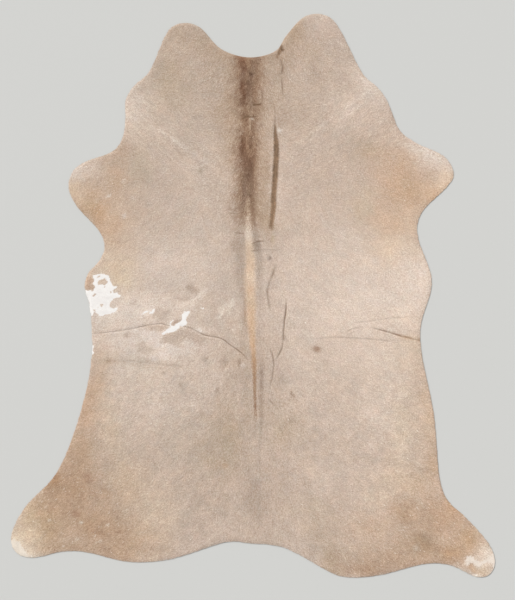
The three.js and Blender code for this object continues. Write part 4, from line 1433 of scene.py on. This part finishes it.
def closed_sheet(lower_rings, top_loop, top_points, top_height, bottom_points=np.empty((0, 2))):
    """A closed sheet: a flat bottom, sides ring by ring, and a top over loose points.

    lower_rings is a list of (loop, height) from the floor up, whose loops have as many points as top_loop.
    """
    count = len(top_loop)
    (bottom_loop, bottom_height), *sides = lower_rings
    bottom_places, bottom_faces = triangles_inside(bottom_loop, bottom_points)
    top_places, top_faces = triangles_inside(top_loop, top_points)
    bottom = np.column_stack([bottom_places, np.full(len(bottom_places), bottom_height)])
    top = np.column_stack([top_places, top_height(*top_places.T)])
    middle = [np.column_stack([loop, np.full(count, height)]) for loop, height in sides]
    places = np.concatenate([bottom, *middle, top])
    levels = [np.arange(count)]
    levels += [len(bottom) + count * i + np.arange(count) for i in range(len(middle) + 1)]
    faces = [bottom_faces[:, ::-1], top_faces + levels[-1][0]]
    for low, high in zip(levels, levels[1:]):
        low_next, high_next = np.roll(low, -1), np.roll(high, -1)
        faces.append(np.stack([low, low_next, high_next], 1))
        faces.append(np.stack([low, high_next, high], 1))
    return places, np.concatenate(faces)


# Materials

class Nodes:
    """Short calls for a material's node tree."""

    NOISE_SPAN = (0.3, 0.7)            # most of a noise's values lie in here
    CHANNEL_POWERS = (0.75, 1.05, 1.3)  # how much red, green and blue follow a factor

    def __init__(self, name):
        self.material = bpy.data.materials.new(name)
        self.material.use_nodes = True
        self.tree = self.material.node_tree
        self.shader = self.tree.nodes["Principled BSDF"]

    def add(self, kind, **settings):
        made = self.tree.nodes.new(kind)
        for key, value in settings.items():
            setattr(made, key, value)
        return made

    def link(self, source, target):
        if isinstance(source, (int, float)):
            target.default_value = source
        elif isinstance(source, tuple):
            target.default_value = (*source, 1)
        else:
            self.tree.links.new(source, target)

    def constants(self, values):
        """Sets the shader's sockets that are the same all over."""
        for name, value in values.items():
            self.shader.inputs[name].default_value = value

    def attribute(self, name, output="Fac"):
        return self.add("ShaderNodeAttribute", attribute_name=name).outputs[output]

    def maths(self, operation, a, b=0.0):
        made = self.add("ShaderNodeMath", operation=operation)
        self.link(a, made.inputs[0])
        self.link(b, made.inputs[1])
        return made.outputs[0]

    def spread(self, value, *limits):
        """The value taken from the first two limits to the last two."""
        made = self.add("ShaderNodeMapRange")
        self.link(value, made.inputs["Value"])
        for key, limit in zip(("From Min", "From Max", "To Min", "To Max"), limits):
            made.inputs[key].default_value = limit
        return made.outputs[0]

    def swing(self, noise, low, high):
        """The noise taken to these limits."""
        return self.spread(noise, *self.NOISE_SPAN, low, high)

    def noise(self, size, detail, roughness=0.5):
        """Noise of about this size in millimetres."""
        made = self.add("ShaderNodeTexNoise")
        for key, value in (("Scale", 1 / (size * MM)), ("Detail", detail), ("Roughness", roughness)):
            made.inputs[key].default_value = value
        self.link(self.add("ShaderNodeTexCoord").outputs["Object"], made.inputs["Vector"])
        return made.outputs[0]

    def mix(self, share, a, b, blend="MIX"):
        made = self.add("ShaderNodeMix", data_type="RGBA", blend_type=blend)
        self.link(share, made.inputs["Factor"])
        self.link(a, made.inputs["A"])
        self.link(b, made.inputs["B"])
        return made.outputs["Result"]

    def red_of(self, colour):
        made = self.add("ShaderNodeSeparateColor")
        self.link(colour, made.inputs[0])
        return made.outputs[0]

    def shaded(self, colour, factor):
        """The colour times a factor, weaker in red and stronger in blue, so that light hairs turn paler."""
        made = self.add("ShaderNodeCombineColor")
        for socket, power in zip(made.inputs, self.CHANNEL_POWERS):
            self.link(self.maths("POWER", factor, power), socket)
        return self.mix(1.0, colour, made.outputs[0], "MULTIPLY")

    def finish(self, colour, roughness, relief, distance, strength):
        """Links the colour, the roughness and a bump of this many millimetres to the shader."""
        bump = self.add("ShaderNodeBump")
        bump.inputs["Distance"].default_value = distance * MM
        bump.inputs["Strength"].default_value = strength
        self.link(relief, bump.inputs["Height"])
        self.link(colour, self.shader.inputs["Base Color"])
        self.link(roughness, self.shader.inputs["Roughness"])
        self.link(bump.outputs["Normal"], self.shader.inputs["Normal"])
        return self.material


WHITE_MARK, BROWN_MARK = 0.7, 0.4    # red of the marks' tones, between which their edges get clean
MARK_EDGE = 1.4                      # half the width over which a mark's edge fades
RAGGED = 2.2                         # how far noise moves a white mark's edge
CREASE_ON_MARK = 0.25                # share of a crease's painted shade that shows on a mark
TUFT_SIZE, TUFT_SHADES = 4.5, (0.83, 1.17)
STRAND_SHADES = (0.95, 1.05)
RAGGED_SIZE = 7
ROUGHNESS_SIZE, HAIR_ROUGHNESS = 18, (0.62, 0.8)
CLOUDY_SIZE = 120                    # of the flesh side's pale and dark places
FIBRE_SIZE, FIBRE_SHADES, FIBRE_ROUGHNESS = 2.2, (0.9, 1.08), (0.85, 1.0)


def coat_material(name, strand_size, bump_distance):
    """Hair: the stored tints, marks with ragged edges, the painted shade of the creases' dark lines, and
    strands.
    """
    nodes = Nodes(name)
    tufts = nodes.swing(nodes.noise(TUFT_SIZE, detail=1.0), *TUFT_SHADES)
    colour = nodes.shaded(nodes.attribute("tint", "Color"), tufts)

    mark_tint = nodes.attribute("mark_tint", "Color")
    paleness = nodes.spread(nodes.red_of(mark_tint), BROWN_MARK, WHITE_MARK, 0.4, 1)
    ragged = nodes.swing(nodes.noise(RAGGED_SIZE, detail=2.0), -RAGGED, RAGGED)
    ragged = nodes.maths("MULTIPLY", ragged, paleness)
    depth = nodes.maths("MULTIPLY", nodes.maths("ADD", nodes.attribute("mark_depth"), ragged), paleness)
    marked = nodes.spread(depth, -MARK_EDGE, MARK_EDGE, 0, 1)
    colour = nodes.mix(marked, colour, mark_tint)

    # painted shade: the dark line down each crease
    offset = nodes.attribute("crease_offset")
    fall = nodes.maths("EXPONENT", nodes.maths("MULTIPLY", nodes.maths("MULTIPLY", offset, offset), -1.0))
    shade = nodes.maths("MULTIPLY", fall, nodes.attribute("crease_shade"))
    shade = nodes.maths("MULTIPLY", shade, nodes.spread(marked, 0, 1, 1, CREASE_ON_MARK))
    colour = nodes.mix(shade, colour, tuple(linear(TONES["crease"])))

    strands = nodes.noise(strand_size, detail=3.0, roughness=0.6)
    colour = nodes.shaded(colour, nodes.swing(strands, *STRAND_SHADES))
    roughness = nodes.swing(nodes.noise(ROUGHNESS_SIZE, detail=2.0), *HAIR_ROUGHNESS)
    nodes.constants({"Specular IOR Level": 0.25, "Sheen Weight": 0.12, "Sheen Roughness": 0.5})
    return nodes.finish(colour, roughness, strands, distance=bump_distance, strength=0.6)


def flesh_material():
    """Napped suede, faintly cloudy."""
    nodes = Nodes("flesh_side")
    cloudy = nodes.swing(nodes.noise(CLOUDY_SIZE, detail=4.0, roughness=0.55), 0, 1)
    colour = nodes.mix(cloudy, tuple(linear(TONES["suede dark"])), tuple(linear(TONES["suede light"])))
    fibres = nodes.noise(FIBRE_SIZE, detail=5.0, roughness=0.65)
    colour = nodes.shaded(colour, nodes.swing(fibres, *FIBRE_SHADES))
    nodes.constants({"Specular IOR Level": 0.15, "Sheen Weight": 0.25})
    roughness = nodes.swing(fibres, *FIBRE_ROUGHNESS)
    return nodes.finish(colour, roughness, fibres, distance=0.25, strength=0.7)


# The leather and the root mat

def make_leather(material):
    """The tanned skin: a closed sheet on the floor with a cut edge."""
    foot = ring(FOOT_INSET, EDGE_STEP)
    cut = offset_loop(foot, -CUT_BULGE)
    top = offset_loop(foot, -LEATHER_TOP_BULGE)
    field = inside_of(hexagonal(LEATHER_STEP, 0.15, LEATHER_SEED), LEATHER_STEP / 2)
    sides = [(foot, 0.0), (cut, CUT_LOW), (cut, CUT_HIGH)]
    places, faces = closed_sheet(sides, top, field, lambda x, y: np.full(x.shape, LEATHER), field)
    piece = mesh_object("leather", places, faces, material)
    lay_map(piece)
    return piece


def crease_points():
    """Rows of points beside each crease, close enough to carry its section and its dark core."""
    points = []
    for crease in CREASES:
        ahead = np.gradient(crease["line"], axis=0)
        ahead /= np.linalg.norm(ahead, axis=1)[:, None]
        aside = np.stack([-ahead[:, 1], ahead[:, 0]], 1)
        offsets = {0.0}
        for share in CREASE_SECTION["offset"][1:]:
            offsets |= {share * crease["reach"], -share * crease["reach"]}
        offsets |= {crease["core"], -crease["core"]}
        for offset in sorted(offsets, key=abs):
            points.append(crease["line"] + offset * aside)
    return np.concatenate(points)


MARK_ZONE = 6    # how far round a mark the points lie closer


def mark_points():
    """Closer points round the marks, so that their colours stay crisp on the root mat."""
    field = hexagonal(MARK_STEP, 0.2, MARK_SEED)
    depth, _ = mark_reading(*field.T)
    return field[depth > -MARK_ZONE]


def creased_height(x, y):
    """Height of the root mat with its creases."""
    z = mat_height(x, y)
    for crease in CREASES:
        near = near_line(crease["line"], x, y, CREASE_REACH * crease["reach"])
        z[near] += crease_lift(crease, *crease_reading(crease, x[near], y[near]))
    return np.maximum(z, LEATHER + LEATHER_GAP + THINNEST_MAT)


def crease_looks(x, y):
    """Each point's distance from the nearest painted dark line, as a share of its core, and that line's
    painted shade.
    """
    offsets, shades = np.full(x.shape, UNSHADED), np.zeros(x.shape)
    for crease in CREASES:
        near = near_line(crease["line"], x, y, SHADED * crease["core"])
        offset, strength = crease_reading(crease, x[near], y[near])
        share = np.abs(offset) / crease["core"]
        closer = share < offsets[near]
        offsets[near[closer]] = share[closer]
        shades[near[closer]] = (crease["shade"] * strength)[closer]
    return offsets, shades


def make_mat(material):
    """The root mat: a closed sheet on the leather that holds the coat's thickness and creases."""
    low = ring(MAT_INSET, EDGE_STEP)
    side, top = offset_loop(low, -MAT_BULGE), offset_loop(low, -MAT_TOP_BULGE)
    # Each group of points, and how far it keeps from those before it
    groups = [
        (top, 0.0),
        (np.concatenate([ring(inset, EDGE_STEP) for inset in EDGE_ROWS]), 2.0),
        (inside_of(crease_points(), 3.5), 1.4),
        (inside_of(mark_points(), 4.0), 1.8),
        (inside_of(hexagonal(FIELD_STEP, 0.2, FIELD_SEED), 15.0), 4.0),
    ]
    points = thinned(groups)[len(top):]
    base = LEATHER + LEATHER_GAP
    places, faces = closed_sheet([(low, base), (side, base + MAT_SIDE)], top, points, creased_height)
    piece = mesh_object("coat", places, faces, material)
    x, y = places[:, 0], places[:, 1]
    depth, mark_tint = mark_reading(x, y)
    offsets, shades = crease_looks(x, y)
    # the root mat's colours get painted shade, a little darker than the hair over it
    store_looks(
        piece.data, coat_colour(x, y) * MAT_SHADE, mark_tint * MARKED_MAT_SHADE,
        mark_depth=depth, crease_offset=offsets, crease_shade=shades,
    )
    lay_map(piece)
    return piece


# Layout of the locks

# Degrees by which the hair turns from straight back: outwards beside the parting, more so in the stripe,
# outwards on the flanks, and further forwards on the shoulders
PARTED, STRIPE_PARTED, FLANK_TURN, SHOULDER_TURN = 8, 26, 60, 68
PARTING_WIDTH, FLANK_SPREAD = 20, 185
PARTING_SHIFT, SHIFT_SPAN = 14, (150, 260)    # the parting lies this far left of the spine in the front half
SHORT_X, SHORT_REACH = -20, 90                # where the locks of the stripe are shorter
FRINGE_FACING = -0.55                         # no fringe where the hair runs inwards more than this


def hair_direction(x, y):
    """The way the hair lies: back on the spine, also outwards on the flanks, forwards on the shoulders."""
    aside = x + PARTING_SHIFT * smoothstep(*SHIFT_SPAN, y)
    parted = math.radians(PARTED) + math.radians(STRIPE_PARTED) * smoothstep(*STRIPE_SPAN, y)
    out = math.radians(FLANK_TURN) * (1 - hump(aside, 0, FLANK_SPREAD))
    out = np.maximum(out, parted * np.tanh(np.abs(aside) / PARTING_WIDTH))
    out += math.radians(SHOULDER_TURN) * shoulder_share(x, y)
    angle = np.sign(aside) * out + wave_sum("lie of the hair", x, y)
    return np.stack([np.sin(angle), -np.cos(angle)], 1)


def lock_layout(rng):
    """Root, direction and length of each lock."""
    step = math.sqrt(HIDE_AREA / LOCK_COUNT / (math.sqrt(3) / 2))
    roots = inside_of(hexagonal(step, 0.45, LOCK_SEED), ROOT_INSET)
    x, y = roots.T
    wx, wy = hair_direction(x, y).T
    turn = rng.normal(0, LOCK_TURN, len(roots))
    way = np.stack([wx * np.cos(turn) - wy * np.sin(turn), wx * np.sin(turn) + wy * np.cos(turn)], 1)
    length = LOCK_LENGTH * rng.uniform(*LENGTH_SHARES, len(roots))
    in_stripe = (np.abs(x - SHORT_X) < SHORT_REACH) & (y > STRIPE_SPAN[0])
    return roots, way, np.where(in_stripe, STRIPE_LENGTH * length, length)


def fringe_layout(rng):
    """Short locks that line the edge and lean over it, where the hair runs outwards."""
    loop = smooth_path(RIM[::3], FRINGE_STEP, closed=True)[:-1]
    outward = outward_of(loop)
    roots = loop - outward * rng.uniform(*FRINGE_INSET, len(loop))[:, None]
    lie = hair_direction(*roots.T)
    facing = (lie * outward).sum(1)
    way = lie + outward * (0.75 + 0.5 * np.clip(-facing, 0, 1))[:, None]
    way /= np.linalg.norm(way, axis=1)[:, None]
    length = LOCK_LENGTH * rng.uniform(*FRINGE_SHARES, len(roots))
    keep = facing > FRINGE_FACING
    return roots[keep], way[keep], length[keep]


def trimmed_at_edge(roots, way, length):
    """Shortens each lock that would reach too far past the edge."""
    reach = OVERHANG * wave_sum("overhang", *roots.T, 0.55)
    tips = roots + way * length[:, None]
    at_root, at_tip = edge_distance(*roots.T), edge_distance(*tips.T)
    past = at_tip < -reach
    share = (at_root + reach) / np.maximum(at_root - at_tip, 0.1)
    return np.where(past, length * np.clip(share, 0.1, 1), length)


MARK_SIDE, MARK_LENGTH = 9, 0.6    # how near to a mark's edge the locks are shorter, and their share


def trimmed_at_marks(roots, way, length):
    """Shortens the locks at the sharp edges of the marks, so that their outlines stay clear."""
    depth, _ = mark_reading(*(roots + way * (0.5 * length)[:, None]).T)
    return np.where(np.abs(depth) < MARK_SIDE, MARK_LENGTH * length, length)


PARTING_DEPTH = 0.45    # of the shallowest crease at which the hair parts
FAR = 30                # from a crease, where its two sides say nothing


def trimmed_at_creases(roots, way, length):
    """Shortens each lock that would cross a crease, so that the hair parts there."""
    for crease in CREASES:
        if crease["depth"] < PARTING_DEPTH:
            continue
        near = near_line(crease["line"], *roots.T, LOCK_LENGTH)
        tips = roots[near] + way[near] * length[near][:, None]
        at_root, strength = crease_reading(crease, *roots[near].T)
        at_tip, _ = crease_reading(crease, *tips.T)
        close = (np.abs(at_root) < FAR) & (np.abs(at_tip) < FAR)
        crosses = (at_root * at_tip < 0) & close & (strength > 0.25)
        gap = 0.5 * crease["core"]
        share = np.clip((np.abs(at_root) - gap) / (np.abs(at_root) + np.abs(at_tip) + 0.1), 0.2, 1)
        length[near[crosses]] *= share[crosses]
    return length


def lock_corners(rng):
    """The root, side, tip and other side of every lock seen from above, and its length."""
    roots, way, length = (np.concatenate(part) for part in zip(lock_layout(rng), fringe_layout(rng)))
    length = trimmed_at_marks(roots, way, trimmed_at_edge(roots, way, length))
    length = trimmed_at_creases(roots, way, length)
    half = LOCK_WIDTH / 2 * rng.uniform(*WIDTH_SHARES, len(roots))
    aside = np.stack([-way[:, 1], way[:, 0]], 1) * half[:, None]
    middle = roots + way * (WIDEST * length)[:, None]
    return np.stack([roots, middle - aside, roots + way * length[:, None], middle + aside], 1), length


def lock_creases(flat, centre, z):
    """Sinks the locks into the creases, and gives each corner's offset from a painted dark line and its
    painted shade.
    """
    offsets, shades = np.full(z.shape, UNSHADED), np.zeros(z.shape)
    for crease in CREASES:
        margin = max(CREASE_REACH * crease["reach"], SHADED * crease["core"]) + LOCK_LENGTH / 2
        near = near_line(crease["line"], *centre.T, margin)
        offset, strength = crease_reading(crease, *flat[near].reshape(-1, 2).T)
        z[near] += crease_lift(crease, offset, strength).reshape(-1, 4)
        share = (offset / crease["core"]).reshape(-1, 4)
        closer = np.abs(share.mean(1)) < np.abs(offsets[near].mean(1))
        offsets[near[closer]] = share[closer]
        shades[near[closer]] = (crease["shade"] * strength).reshape(-1, 4)[closer]
    return offsets, shades


def lifted(z, length, rng):
    """Heights of the locks' corners over the root mat: root in it, sides on it, tip above it."""
    tip = HAIR_RELIEF * rng.uniform(*TIP_SHARES, len(z))
    side = np.full(len(z), SIDE_LIFT)
    lift = np.stack([np.full(len(z), -ROOT_DEPTH), side, tip, side], 1)
    short = np.clip(length / LOCK_LENGTH, 0.3, 1)[:, None]
    return np.maximum(z + lift * short, LOWEST_LOCK)


# Colours of the locks

WAIST_Y, ENDS_SPAN = 80, (250, 500)        # the hide's two ends begin this far from its waist
CALM_OUT = (200, 450)                      # the right of the waist is calm
LIVELY_WAIST = (-150, -190), (130, 150)    # middle and reach of a livelier place on the left
HAZE_X, HAZE_SPREAD, HAZE_SPAN = -95, 60, (150, 250)    # left of the dark stripe
TOE_BACK = (900, 1000)


def liveliness(x, y):
    """How much the locks differ in brightness: least on the right waist, most in the dark stripe."""
    ends = smoothstep(*ENDS_SPAN, np.abs(y - WAIST_Y))
    calm = smoothstep(*CALM_OUT, x) * (1 - ends)
    haze = hump(x, HAZE_X, HAZE_SPREAD) * smoothstep(*HAZE_SPAN, y)
    spread = 1 + 0.55 * ends + 0.4 * patch(x, y, LIVELY_WAIST) - 0.2 * calm + 0.45 * haze
    spread += 0.3 * hind_leg_share(x, y)
    spread += 0.5 * smoothstep(*TOE_BACK, -y)
    return LOCK_SPREAD * (spread + 2.8 * stripe_share(x, y))


def painted_rim_light(x, y):
    """Painted light: how much paler the hair is painted at the edges that face away from the lamp, which lie
    in shade.
    """
    across = edge_distance(x + 2, y) - edge_distance(x - 2, y)
    up = edge_distance(x, y + 2) - edge_distance(x, y - 2)
    inward = np.stack([across, up])
    inward /= np.maximum(np.hypot(*inward), 0.1)
    facing = np.clip(0.7 * inward[1] - 0.7 * inward[0], 0, 1)
    near, far = RIM_PAINTED_LIGHT_SPAN
    return facing * smoothstep(-far, -near, -edge_distance(x, y))


def lock_shade(centre, rng):
    """Brightness of each lock at its four corners."""
    strokes = 0.1 * stripe_share(*centre.T) * parted_streaks(*centre.T, *LONG_WAVES["strokes"])
    value = 1 + liveliness(*centre.T) * rng.standard_normal(len(centre))
    value = value + wave_sum("grain", *centre.T) + strokes
    return np.clip(value, *SHADE_LIMITS)[:, None] * LOCK_SHADES


def lock_tint(flat, centre, shade, rng):
    """Colour of each lock at its four corners, with pale flecks thickest on the legs and painted light on the
    shaded edges.
    """
    x, y = centre.T
    stray = rng.normal(0, COLOUR_STRAY, (len(flat), 1, 2))
    tint = HAIR_BALANCE * coat_colour(*(flat + stray).reshape(-1, 2).T).reshape(-1, 4, 3)
    on_leg = np.maximum(hind_leg_share(x, y), foreleg_share(x, y))
    fleck = rng.random(len(flat)) < FLECKS + LEG_FLECKS * on_leg
    fleck &= np.abs(x) > SPINE_SPREAD
    amount = rng.uniform(*FLECK_AMOUNTS, fleck.sum())[:, None, None]
    tint[fleck] += (linear(TONES["fleck"]) - tint[fleck]) * amount
    tint *= shade[..., None] ** GRAIN_POWERS
    # painted light on the edges that face away from the lamp
    return tint * (1 + painted_rim_light(x, y)[:, None, None] * RIM_PAINTED_LIGHT)


BROWN_LIMIT = 0.6    # of a mark's linear red, under which it counts as brown
TOE_MATCH = 0.08     # how near to the white toes' red a mark counts as one of them


def marked_tint(tint, centre, shade):
    """The marks' tones at the locks' corners, with their grain."""
    y = centre[:, 1]
    brown = tint[..., 0] < BROWN_LIMIT
    mottle = wave_sum("marks", *centre.T)
    mottle += FOLD_LIGHT - FOLD_DARKENING * smoothstep(*FOLD_SPAN, y)
    mottle += NAPE_LIGHT * smoothstep(*NAPE_SPAN, y)
    grained = 1 + np.where(brown, BROWN_GRAIN, WHITE_GRAIN) * (shade - 1) + brown * mottle[:, None]
    tint = tint * np.clip(grained, *MARK_SHADE_LIMITS)[..., None]
    toe = np.abs(tint[..., 0] - linear(TONES["toe white"])[0]) < TOE_MATCH
    return tint * (1 + toe * wave_sum("toes", *centre.T)[:, None])[..., None]


def quarters(centre):
    """The name and the locks of each of the four pieces of hair, which hold about as many each."""
    right = centre[:, 0] > np.median(centre[:, 0])
    for side, of_side in (("left", ~right), ("right", right)):
        front = centre[:, 1] > np.median(centre[of_side, 1])
        for end, of_end in (("front", front), ("back", ~front)):
            yield f"hair_{side}_{end}", np.flatnonzero(of_side & of_end)


def make_hair(material):
    """Four pieces of laid locks, each a narrow leaf with its root in the mat and its tip on top."""
    rng = np.random.default_rng(HAIR_SEED)
    flat, length = lock_corners(rng)
    centre = flat.mean(1)
    z = mat_height(*flat.reshape(-1, 2).T).reshape(-1, 4)
    offsets, shades = lock_creases(flat, centre, z)
    z = lifted(z, length, rng)
    shade = lock_shade(centre, rng)
    tint = lock_tint(flat, centre, shade, rng)
    depth, mark_tint = mark_reading(*flat.reshape(-1, 2).T)
    depth, mark_tint = depth.reshape(-1, 4), marked_tint(mark_tint.reshape(-1, 4, 3), centre, shade)
    pieces = []
    for name, mine in quarters(centre):
        places = np.concatenate([flat[mine], z[mine][..., None]], 2).reshape(-1, 3)
        start = 4 * np.arange(len(mine))[:, None]
        faces = np.concatenate([start + [0, 1, 2], start + [0, 2, 3]])
        piece = mesh_object(name, places, faces, material)
        store_looks(
            piece.data, tint[mine], mark_tint[mine],
            mark_depth=depth[mine], crease_offset=offsets[mine], crease_shade=shades[mine],
        )
        lay_map(piece)
        pieces.append(piece)
    return pieces


# Floor, light and camera

FLOOR_SIZE = 30_000      # from the middle to a side
FLOOR_GAP = 0.3          # under the hide
FRAME_HEIGHT = 2269.2    # of what the camera sees on the floor
CAMERA_HEIGHT = 6000
CAMERA_PLACE = (17, -17)
SENSOR = 36
SKY_STRENGTH = 0.6
LAMP_STRENGTH, LAMP_ANGLE, LAMP_FROM = 2.5, 18, (-0.6, 0.62, 0.6)


def make_floor():
    corners = np.array([(-1, -1), (1, -1), (1, 1), (-1, 1)]) * FLOOR_SIZE
    nodes = Nodes("floor")
    nodes.constants({"Base Color": (*linear(TONES["floor"]), 1), "Roughness": 0.8})
    places = np.column_stack([corners, np.full(4, -FLOOR_GAP)])
    floor = mesh_object("floor", places, np.array([(0, 1, 2), (0, 2, 3)]), nodes.material)


def make_light():
    """Soft light from all round, and a broad lamp from the upper left."""
    world = bpy.data.worlds.new("studio")
    world.use_nodes = True
    background = world.node_tree.nodes["Background"]
    background.inputs["Color"].default_value = (1, 1, 1, 1)
    background.inputs["Strength"].default_value = SKY_STRENGTH
    bpy.context.scene.world = world
    key = bpy.data.lights.new("key", "SUN")
    key.energy = LAMP_STRENGTH
    key.angle = math.radians(LAMP_ANGLE)
    lamp = bpy.data.objects.new("key", key)
    lamp.rotation_euler = Vector(LAMP_FROM).to_track_quat("Z", "Y").to_euler()
    bpy.context.scene.collection.objects.link(lamp)


def make_camera():
    """Straight above the middle of the photograph's frame."""
    camera = bpy.data.cameras.new("camera")
    camera.sensor_width = SENSOR
    camera.lens = SENSOR * CAMERA_HEIGHT / FRAME_HEIGHT
    camera.clip_end = 100
    holder = bpy.data.objects.new("camera", camera)
    holder.location = [place * MM for place in (*CAMERA_PLACE, CAMERA_HEIGHT)]
    bpy.context.scene.collection.objects.link(holder)
    bpy.context.scene.camera = holder


bpy.context.scene.view_settings.view_transform = "Standard"
make_camera()
make_light()
make_floor()

leather = make_leather(flesh_material())
coat = make_mat(coat_material("root_mat", strand_size=2.2, bump_distance=0.3))
hair = make_hair(coat_material("laid_hair", strand_size=1.1, bump_distance=0.1))

for piece in (leather, coat, *hair):
    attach(piece, "root")
    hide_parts("hide")
